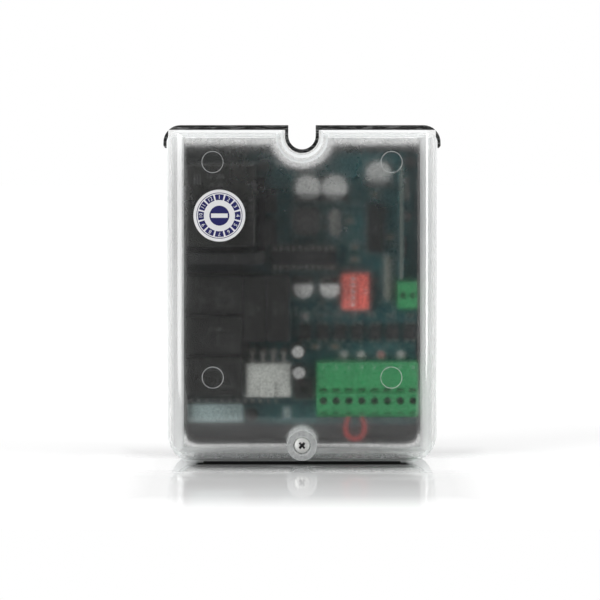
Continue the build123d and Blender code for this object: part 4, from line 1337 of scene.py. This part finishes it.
class CONTROLPANEL_OT_small_parts(bpy.types.Operator):
    """Add the crystal, the resistor pack, the surface parts and the status lamps"""

    bl_idname = "controlpanel.small_parts"
    bl_label = "Small parts"

    def execute(self, context):
        softened("crystal", "tinned metal", 0.45 * MM, 3)
        softened("resistor_pack", "grey lacquer", 0.35 * MM, 3)
        marks = bmesh.new()
        low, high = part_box("crystal")
        middle = (low + high) / 2
        add_text(marks, "8.0", 2.0, (middle.x, low.y - PRINT_GAP, middle.z), 90)
        low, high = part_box("resistor_pack")
        x, face = (low.x + high.x) / 2, low.y - PRINT_GAP
        add_bar(marks, (x, face, low.z + 0.9 * MM), (x, face, low.z + 1.0 * MM), 0.7 * MM, 0.02 * MM)
        piece("small_part_marks", marks, "black ink", weighted=False)
        for node, look in (("chip_resistors", "chip epoxy"), ("chip_capacitors", "tan ceramic")):
            self.add_surface_parts(node, look)
        self.add_lamps()
        return {"FINISHED"}

    def add_surface_parts(self, node, look):
        bm = bmesh.new()
        skin = Vector((1, 1, 1)) * 0.03 * MM
        for low, high in solids(node):
            cap = (high.x - low.x) * 0.19
            add_block(bm, low + skin, (high.x - skin.x, high.y, high.z - skin.z),
                      edge=0.05 * MM, segments=1)
            for one, two in ((low.x, low.x + cap), (high.x - cap, high.x)):
                add_block(bm, (one, low.y, low.z), (two, high.y, high.z), 1, 0.06 * MM, 1)
        dressed(node, bm, (look, "tinned metal"))

    def add_lamps(self):
        bm = bmesh.new()
        red = 3
        dome = [(1.3 * cos(radians(a)), 3.1 + 1.3 * sin(radians(a))) for a in range(0, 90, 15)]
        profile = [(0, 0.2), (1.5, 0.2), (1.5, 1.1), (1.32, 1.2)] + dome + [(0, 4.4)]
        for number, ends in enumerate(solids("status_lamps")):
            add_turned(bm, profile, over_board(*span(*ends)[:2]), 28, int(number == red))
        dressed("status_lamps", bm, ("clear lamp epoxy", "red lamp epoxy"))


class CONTROLPANEL_OT_receiver(bpy.types.Operator):
    """Add the upright receiver card, its pin strip and its parts"""

    bl_idname = "controlpanel.receiver"
    bl_label = "Receiver card"

    # The numbers of the small parts' looks after tinned metal
    epoxy, ferrite, nickel = 1, 2, 3

    def execute(self, context):
        softened("receiver_card", ("solder mask", "cut laminate"), 0.1 * MM, 1,
                 lambda centre, normal: abs(normal.x) < 0.5)
        softened("receiver_header", "relay case", 0.12 * MM, 1)
        low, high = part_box("receiver_card")
        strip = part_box("receiver_header")
        pins = bmesh.new()
        for number in range(12):
            z = (strip[0].z + strip[1].z) / 2 + (number - 5.5) * PIN_PITCH
            add_block(pins, (low.x - 0.4 * MM, high.y - 2.2 * MM, z - 0.25 * MM),
                      (low.x, high.y + 0.2 * MM, z + 0.25 * MM), edge=0.05 * MM, segments=1)
        piece("receiver_pins", pins, "tinned metal")
        self.add_parts(high.x)
        return {"FINISHED"}

    def add_parts(self, face):
        chip, coil, can = sorted(solids("receiver_parts"), key=lambda pair: pair[0].z)
        bm = bmesh.new()
        low, high = can
        rim = Vector((0, 0.25, 0.25)) * MM
        add_block(bm, low, high, self.nickel, 0.3 * MM, 3)
        seam = Vector((low.x + 0.5 * MM, high.y, high.z)) + rim
        add_block(bm, low - rim, seam, self.nickel, 0.08 * MM, 1)
        low, high = coil
        middle = (low + high) / 2
        tall = (high.x - low.x) / MM
        profile = [(0, 0), (2.0, 0), (2.0, tall - 0.7), (1.85, tall - 0.5), (1.2, tall - 0.5),
                   (1.2, tall), (0, tall)]
        add_turned(bm, profile, (low.x, middle.y, middle.z), 28, self.ferrite, (1, 0, 0))
        low, high = chip
        add_block(bm, low + Vector((0.1, 0.5, 0)) * MM, high - Vector((0, 0.5, 0)) * MM,
                  self.epoxy, 0.15 * MM, 1)
        for number in range(7):
            z = (low.z + high.z) / 2 + (number - 3) * 1.2 * MM
            add_block(bm, (low.x, low.y, z - 0.2 * MM), (low.x + 0.35 * MM, high.y, z + 0.2 * MM))
        for number in range(9):
            corner = Vector((face, (-6.2 + 1.1 * (number % 4)) * MM, (76.0 + 3.9 * number) * MM))
            add_block(bm, corner, corner + Vector((0.5, 0.8, 1.6)) * MM, self.epoxy, 0.05 * MM, 1)
            add_block(bm, corner - Vector((0, 0.05, 0)) * MM,
                      corner + Vector((0.52, 0.85, 0.35)) * MM)
        looks = ("tinned metal", "chip epoxy", "ferrite", "dull nickel")
        dressed("receiver_parts", bm, looks)


# Terminals, connector, switches

class CONTROLPANEL_OT_terminals(bpy.types.Operator):
    """Add the eight-pole terminal, the aerial terminal, their clamp screws and contacts"""

    bl_idname = "controlpanel.terminals"
    bl_label = "Terminals"

    # No slot's floor is larger than this area
    slot_floor = 6 * MM * MM

    def execute(self, context):
        edge = context.scene.panel_board.edge
        self.add_slotted("terminal_header", edge, width=3.2, foot=0.25, top=2.05, depth=0.8)
        self.add_slotted("terminal_plug", edge * 0.6, width=2.8, foot=1.1, top=2.0, depth=0.5)
        softened("aerial_terminal", "terminal plastic", edge)
        softened("terminal_contacts", "tinned metal", 0.1 * MM)
        self.add_screws("terminal_screws", 0.7)
        self.add_screws("aerial_screws", 0.6)
        self.add_pole_marks()
        return {"FINISHED"}

    def add_slotted(self, node, edge, width, foot, top, depth):
        """A terminal's housing with one shallow slot per pole, between two heights over its foot, each
        slot's floor painted dark as shade.
        """
        cutter = bmesh.new()
        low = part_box(node)[0]
        floor = low.y + depth * MM
        foot, top = low.z + foot * MM, low.z + top * MM
        for one, two in solids("terminal_contacts"):
            x = (one.x + two.x) / 2
            add_block(cutter, (x - width / 2 * MM, low.y - 1 * MM, foot),
                      (x + width / 2 * MM, floor, top), edge=0.2 * MM, segments=1)
        bm = carved(node_copy(node), cutter)
        # Each slot's floor takes the dark chip epoxy: painted shade in the shallow slot
        for face in bm.faces:
            deep = abs(face.calc_center_median().y - floor) < HAIR
            face.material_index = int(deep and face.calc_area() < self.slot_floor)
        bevel_sharp(bm, edge)
        dressed(node, bm, ("terminal plastic", "chip epoxy"))

    def add_screws(self, node, slot):
        bm = bmesh.new()
        for number, (low, high) in enumerate(solids(node)):
            foot = foot_of(low, high)
            radius, tall = (high.z - low.z) / 2 / MM, (high.y - low.y) / MM
            profile = [(0, 0), (radius * 0.75, 0)]
            profile += threads(radius * 0.9, radius * 0.78, 0.5, 0.3, tall - 1.4)
            profile += [(radius * 0.9, tall - 1.2), (radius, tall - 1.1), (radius, tall - 0.2),
                        (radius - 0.15, tall), (0, tall)]
            mouth = Vector((foot.x, low.y, foot.z))
            turn = 30 + (17 + 53 * number) % 120
            cut = recess_bars(mouth, radius * 3, slot, 1.4, (turn,))
            add_to(bm, carved(turned(profile, foot, 24), *cut), 0)
        dressed(node, bm, "blackened steel")

    def add_pole_marks(self):
        low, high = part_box("terminal_header")
        bm = bmesh.new()
        for number, (one, two) in enumerate(solids("terminal_contacts")):
            spot = ((one.x + two.x) / 2, low.y - PRINT_GAP, high.z - 2.0 * MM)
            add_text(bm, number + 1, 1.9, spot)
        piece("terminal_numbers", bm, "white ink", weighted=False)


class CONTROLPANEL_OT_wire_link(bpy.types.Operator):
    """Add the red wire link, bent in a loop between two poles"""

    bl_idname = "controlpanel.wire_link"
    bl_label = "Wire link"

    def execute(self, context):
        low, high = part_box("wire_link")
        middle = (low + high) / 2
        half = [(2.54, 0), (2.54, 4.0), (2.6, 7.0), (3.3, 9.0), (3.9, 11.2), (3.6, 13.8),
                (1.9, 15.9)]
        points = [(-x, drop) for x, drop in half] + [(0.0, 16.1)] + half[::-1]
        curve = bpy.data.curves.new("link", "CURVE")
        curve.dimensions = "3D"
        curve.resolution_u = 8
        curve.bevel_depth = (high.y - low.y) / 2
        curve.bevel_resolution = 5
        curve.use_fill_caps = True
        spline = curve.splines.new("NURBS")
        spline.points.add(len(points) - 1)
        for point, (x, drop) in zip(spline.points, points):
            point.co = (middle.x + x * MM, middle.y, high.z - drop * MM, 1)
        spline.order_u = 4
        spline.use_endpoint_u = True
        bm = evaluated(curve)
        bmesh.ops.remove_doubles(bm, verts=bm.verts, dist=WELD)
        dressed("wire_link", bm, "red insulation")
        return {"FINISHED"}


class CONTROLPANEL_OT_power_connector(bpy.types.Operator):
    """Add the white four-way connector and its bent pins"""

    bl_idname = "controlpanel.power_connector"
    bl_label = "Power connector"

    def execute(self, context):
        softened("power_connector", "white nylon", 0.3 * MM)
        softened("power_pins", "tinned metal", 0.15 * MM)
        low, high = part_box("power_connector")
        bm = bmesh.new()
        for one, two in solids("power_pins"):
            x = (one.x + two.x) / 2
            add_block(bm, (x - 1.25 * MM, low.y, high.z - 0.35 * MM),
                      (x + 1.25 * MM, low.y + 3.2 * MM, high.z + 0.25 * MM),
                      edge=0.1 * MM, segments=1)
        piece("connector_ribs", bm, "white nylon")
        return {"FINISHED"}


class CONTROLPANEL_OT_switch_block(bpy.types.Operator):
    """Add the red switch block, its five sliders and its plain numbers"""

    bl_idname = "controlpanel.switch_block"
    bl_label = "Switch block"

    def execute(self, context):
        softened("switch_body", "switch plastic", 0.2 * MM)
        low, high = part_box("switch_body")
        face = low.y - PRINT_GAP
        marks = bmesh.new()
        for number in range(1, 6):
            node = f"switch_slider_{number}"
            softened(node, "slider plastic", 0.12 * MM, body=body_of(node))
            one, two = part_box(node)
            add_text(marks, number, 1.7, (low.x + 1.6 * MM, face, (one.z + two.z) / 2))
        add_text(marks, "ON", 1.6, (high.x - 1.4 * MM, face, (low.z + high.z) / 2), 90)
        piece("switch_marks", marks, "white ink", weighted=False)
        return {"FINISHED"}


class CONTROLPANEL_OT_push_button(bpy.types.Operator):
    """Add the push button with its metal face and domed plunger"""

    bl_idname = "controlpanel.push_button"
    bl_label = "Push button"

    def execute(self, context):
        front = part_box("button_body")[0].y
        softened("button_body", ("relay case", "blackened steel"), 0.15 * MM,
                 sort=lambda centre, normal: centre.y < front + HAIR)
        low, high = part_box("button_plunger")
        radius, tall = (high.x - low.x) / 2 / MM, (high.y - low.y) / MM
        profile = [(0, 0), (radius, 0), (radius, tall - 0.45), (radius - 0.12, tall - 0.18),
                   (radius - 0.4, tall - 0.04), (0, tall)]
        dressed("button_plunger", turned(profile, foot_of(low, high), 32), "relay case",
                body_of("button_plunger"))
        return {"FINISHED"}


# Stage

class CONTROLPANEL_OT_stage(bpy.types.Operator):
    """Add the pale floor, the soft lamps, the white surroundings and the camera"""

    bl_idname = "controlpanel.stage"
    bl_label = "Stage"

    # Each lamp: heading in degrees, distance, height, width and height of its panel, and power
    lamps = {
        "left softbox": (-51, 1.7, 0.5, 0.8, 1.3, 19.0),
        "right strip": (65, 1.7, 0.5, 0.35, 1.3, 12.0),
        "overhead panel": (0, 0.3, 1.9, 1.6, 1.6, 10.5),
    }

    def execute(self, context):
        settings = context.scene.panel_stage
        self.add_floor()
        self.add_lamps()
        self.add_surroundings(context, settings)
        self.add_camera(context, settings)
        context.scene.view_settings.view_transform = "Standard"
        return {"FINISHED"}

    def add_floor(self):
        bm = bmesh.new()
        half_size, front_edge = 3.0, -0.25
        bmesh.ops.create_grid(bm, x_segments=2, y_segments=2, size=half_size)
        bmesh.ops.translate(bm, vec=(0, front_edge + half_size, 0), verts=bm.verts)
        mesh = bpy.data.meshes.new("floor")
        bm.to_mesh(mesh)
        bm.free()
        floor = bpy.data.objects.new("floor", mesh)
        bpy.context.scene.collection.objects.link(floor)
        mesh.materials.append(self.floor_material())

    def floor_material(self):
        """White, mirror-like in front of the box, with a painted shadow close under the box's front
        edge that darkens its colour, mirror and glow.
        """
        s = Shader("white polished table")
        low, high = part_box("clear_cover")
        half = ((high.x - low.x) / 2, (high.y - low.y) / 2, 0)
        size = s.out("VectorMath", {0: s.coordinates}, operation="ABSOLUTE")
        past = s.out("VectorMath", {0: size, 1: half}, operation="SUBTRACT")
        outside = s.out("VectorMath", {0: past, 1: (0, 0, 0)}, operation="MAXIMUM")
        away = s.node("VectorMath", {0: outside}, operation="LENGTH").outputs["Value"]
        past_x, past_y, _ = s.split(past)
        y = s.split()["Y"]
        # Painted shadow: it reaches out in front of the box and is cleared beside and behind the box
        edge = past_y
        for free in (
            s.spread(past_x, -0.001, 0.03, -0.015, -0.004), s.spread(y, -0.001, 0.03, -0.005, 0.02)
        ):
            edge = s.math(edge, free, "MAXIMUM")
        painted_shadow_factor = s.ramp(
            s.spread(edge, 0, 1, -0.001, 0.03),
            ((0.0, 0.04), (0.04, 0.22), (0.1, 0.45), (0.3, 0.78), (0.65, 0.94), (1.0, 1.0)),
        )
        mirror = s.ramp(
            s.spread(away, 0, 1, 0, 0.24),
            ((0.0, 0.9), (0.085, 0.88), (0.165, 0.6), (0.25, 0.46), (0.4, 0.35), (0.55, 0.24),
             (0.83, 0.03), (0.95, 0.0)),
        )
        for fade in (s.spread(y, 1, 0, 0, 0.03), s.spread(past_x, 1, 0, 0.005, 0.045)):
            mirror = s.math(mirror, fade, "MULTIPLY")
        gloss = s.spread(s.noise(900, 3), 0.02, 0.05)
        # The mirror's colour and the paint both take the painted shadow
        polish = s.out("BsdfGlossy", {"Color": painted_shadow_factor, "Roughness": gloss})
        floor_paint_with_painted_shadow = s.mix(painted_shadow_factor, (0, 0, 0), (0.76, 0.76, 0.76))
        table = s.blend(mirror, s.out("BsdfDiffuse", {"Color": floor_paint_with_painted_shadow}), polish)
        lift = s.spread(away, 0.0, 0.6, 0.12, 0.24)
        for beyond in (s.spread(y, 0, 0.17, 0.0, 0.06), s.spread(past_x, 0, 0.17, 0.0, 0.02)):
            lift = s.math(lift, beyond, "MAXIMUM")
        # The glow dims under the painted shadow too
        for part in (s.node("LightPath").outputs["Is Camera Ray"], painted_shadow_factor):
            lift = s.math(lift, part, "MULTIPLY")
        glow = s.out("Emission", {"Color": (1, 1, 1, 1), "Strength": lift})
        return s.finish(s.out("AddShader", {0: table, 1: glow}))

    def add_lamps(self):
        target = Vector((0, 0, 0.07))
        for name, (heading, distance, height, wide, tall, power) in self.lamps.items():
            data = bpy.data.lights.new(name, "AREA")
            data.shape = "RECTANGLE"
            data.size, data.size_y = wide, tall
            data.energy = power
            lamp = bpy.data.objects.new(name, data)
            angle = radians(heading)
            lamp.location = (distance * sin(angle), -distance * cos(angle), height)
            lamp.rotation_euler = (target - lamp.location).to_track_quat("-Z", "Y").to_euler()
            lamp.visible_camera = False
            bpy.context.scene.collection.objects.link(lamp)

    def add_surroundings(self, context, settings):
        world = bpy.data.worlds.new("white surroundings")
        world.use_nodes = True
        w = Nodes(world.node_tree, "ShaderNodeOutputWorld")
        heading = w.node("TexCoord").outputs["Generated"]
        toward_back = w.node("SeparateXYZ", {0: heading}).outputs["Y"]
        strength = w.spread(toward_back, settings.dark_front, 1.0, -0.6, -0.05)
        around = w.out("Background", {"Color": (1, 1, 1, 1), "Strength": strength})
        white = w.out("Background", {"Color": (1, 1, 1, 1), "Strength": 1.0})
        w.finish(w.blend(w.node("LightPath").outputs["Is Camera Ray"], around, white))
        context.scene.world = world

    def add_camera(self, context, settings):
        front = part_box("clear_cover")[0].y
        data = bpy.data.cameras.new("camera")
        data.lens = settings.focal_length
        data.sensor_width = 36.0
        data.clip_start, data.clip_end = 0.05, 30.0
        camera = bpy.data.objects.new("camera", data)
        side = -0.8 * MM
        camera.location = (side, front - settings.camera_distance, settings.camera_height)
        aim = Vector((side, front, settings.aim_height)) - camera.location
        camera.rotation_euler = aim.to_track_quat("-Z", "Y").to_euler()
        context.scene.collection.objects.link(camera)
        context.scene.camera = camera


OPERATORS = (
    CONTROLPANEL_OT_carrier_tray,
    CONTROLPANEL_OT_circuit_board,
    CONTROLPANEL_OT_board_screws,
    CONTROLPANEL_OT_relays,
    CONTROLPANEL_OT_power_stage,
    CONTROLPANEL_OT_can_capacitors,
    CONTROLPANEL_OT_timing_capacitors,
    CONTROLPANEL_OT_coil,
    CONTROLPANEL_OT_chips,
    CONTROLPANEL_OT_small_parts,
    CONTROLPANEL_OT_receiver,
    CONTROLPANEL_OT_terminals,
    CONTROLPANEL_OT_wire_link,
    CONTROLPANEL_OT_power_connector,
    CONTROLPANEL_OT_switch_block,
    CONTROLPANEL_OT_push_button,
    CONTROLPANEL_OT_cover,
    CONTROLPANEL_OT_ejector_marks,
    CONTROLPANEL_OT_date_sticker,
    CONTROLPANEL_OT_cover_screw,
    CONTROLPANEL_OT_stage,
)


class CONTROLPANEL_PT_sidebar(bpy.types.Panel):
    """Lists the pieces of the control panel"""

    bl_idname = "CONTROLPANEL_PT_sidebar"
    bl_label = "Control panel"
    bl_space_type = "VIEW_3D"
    bl_region_type = "UI"
    bl_category = "Control panel"

    def draw(self, context):
        for operator in OPERATORS:
            self.layout.operator(operator.bl_idname)


def register():
    for group in (*GROUPS, *OPERATORS, CONTROLPANEL_PT_sidebar):
        bpy.utils.register_class(group)
    bpy.types.Scene.panel_cover = PointerProperty(type=CoverSettings)
    bpy.types.Scene.panel_board = PointerProperty(type=BoardSettings)
    bpy.types.Scene.panel_stage = PointerProperty(type=StageSettings)


def unregister():
    for name in ("panel_stage", "panel_board", "panel_cover"):
        delattr(bpy.types.Scene, name)
    for group in (CONTROLPANEL_PT_sidebar, *reversed(OPERATORS), *reversed(GROUPS)):
        bpy.utils.unregister_class(group)


def main():
    register()
    for operator in OPERATORS:
        family, name = operator.bl_idname.split(".")
        getattr(getattr(bpy.ops, family), name)()


if __name__ == "__main__":
    main()
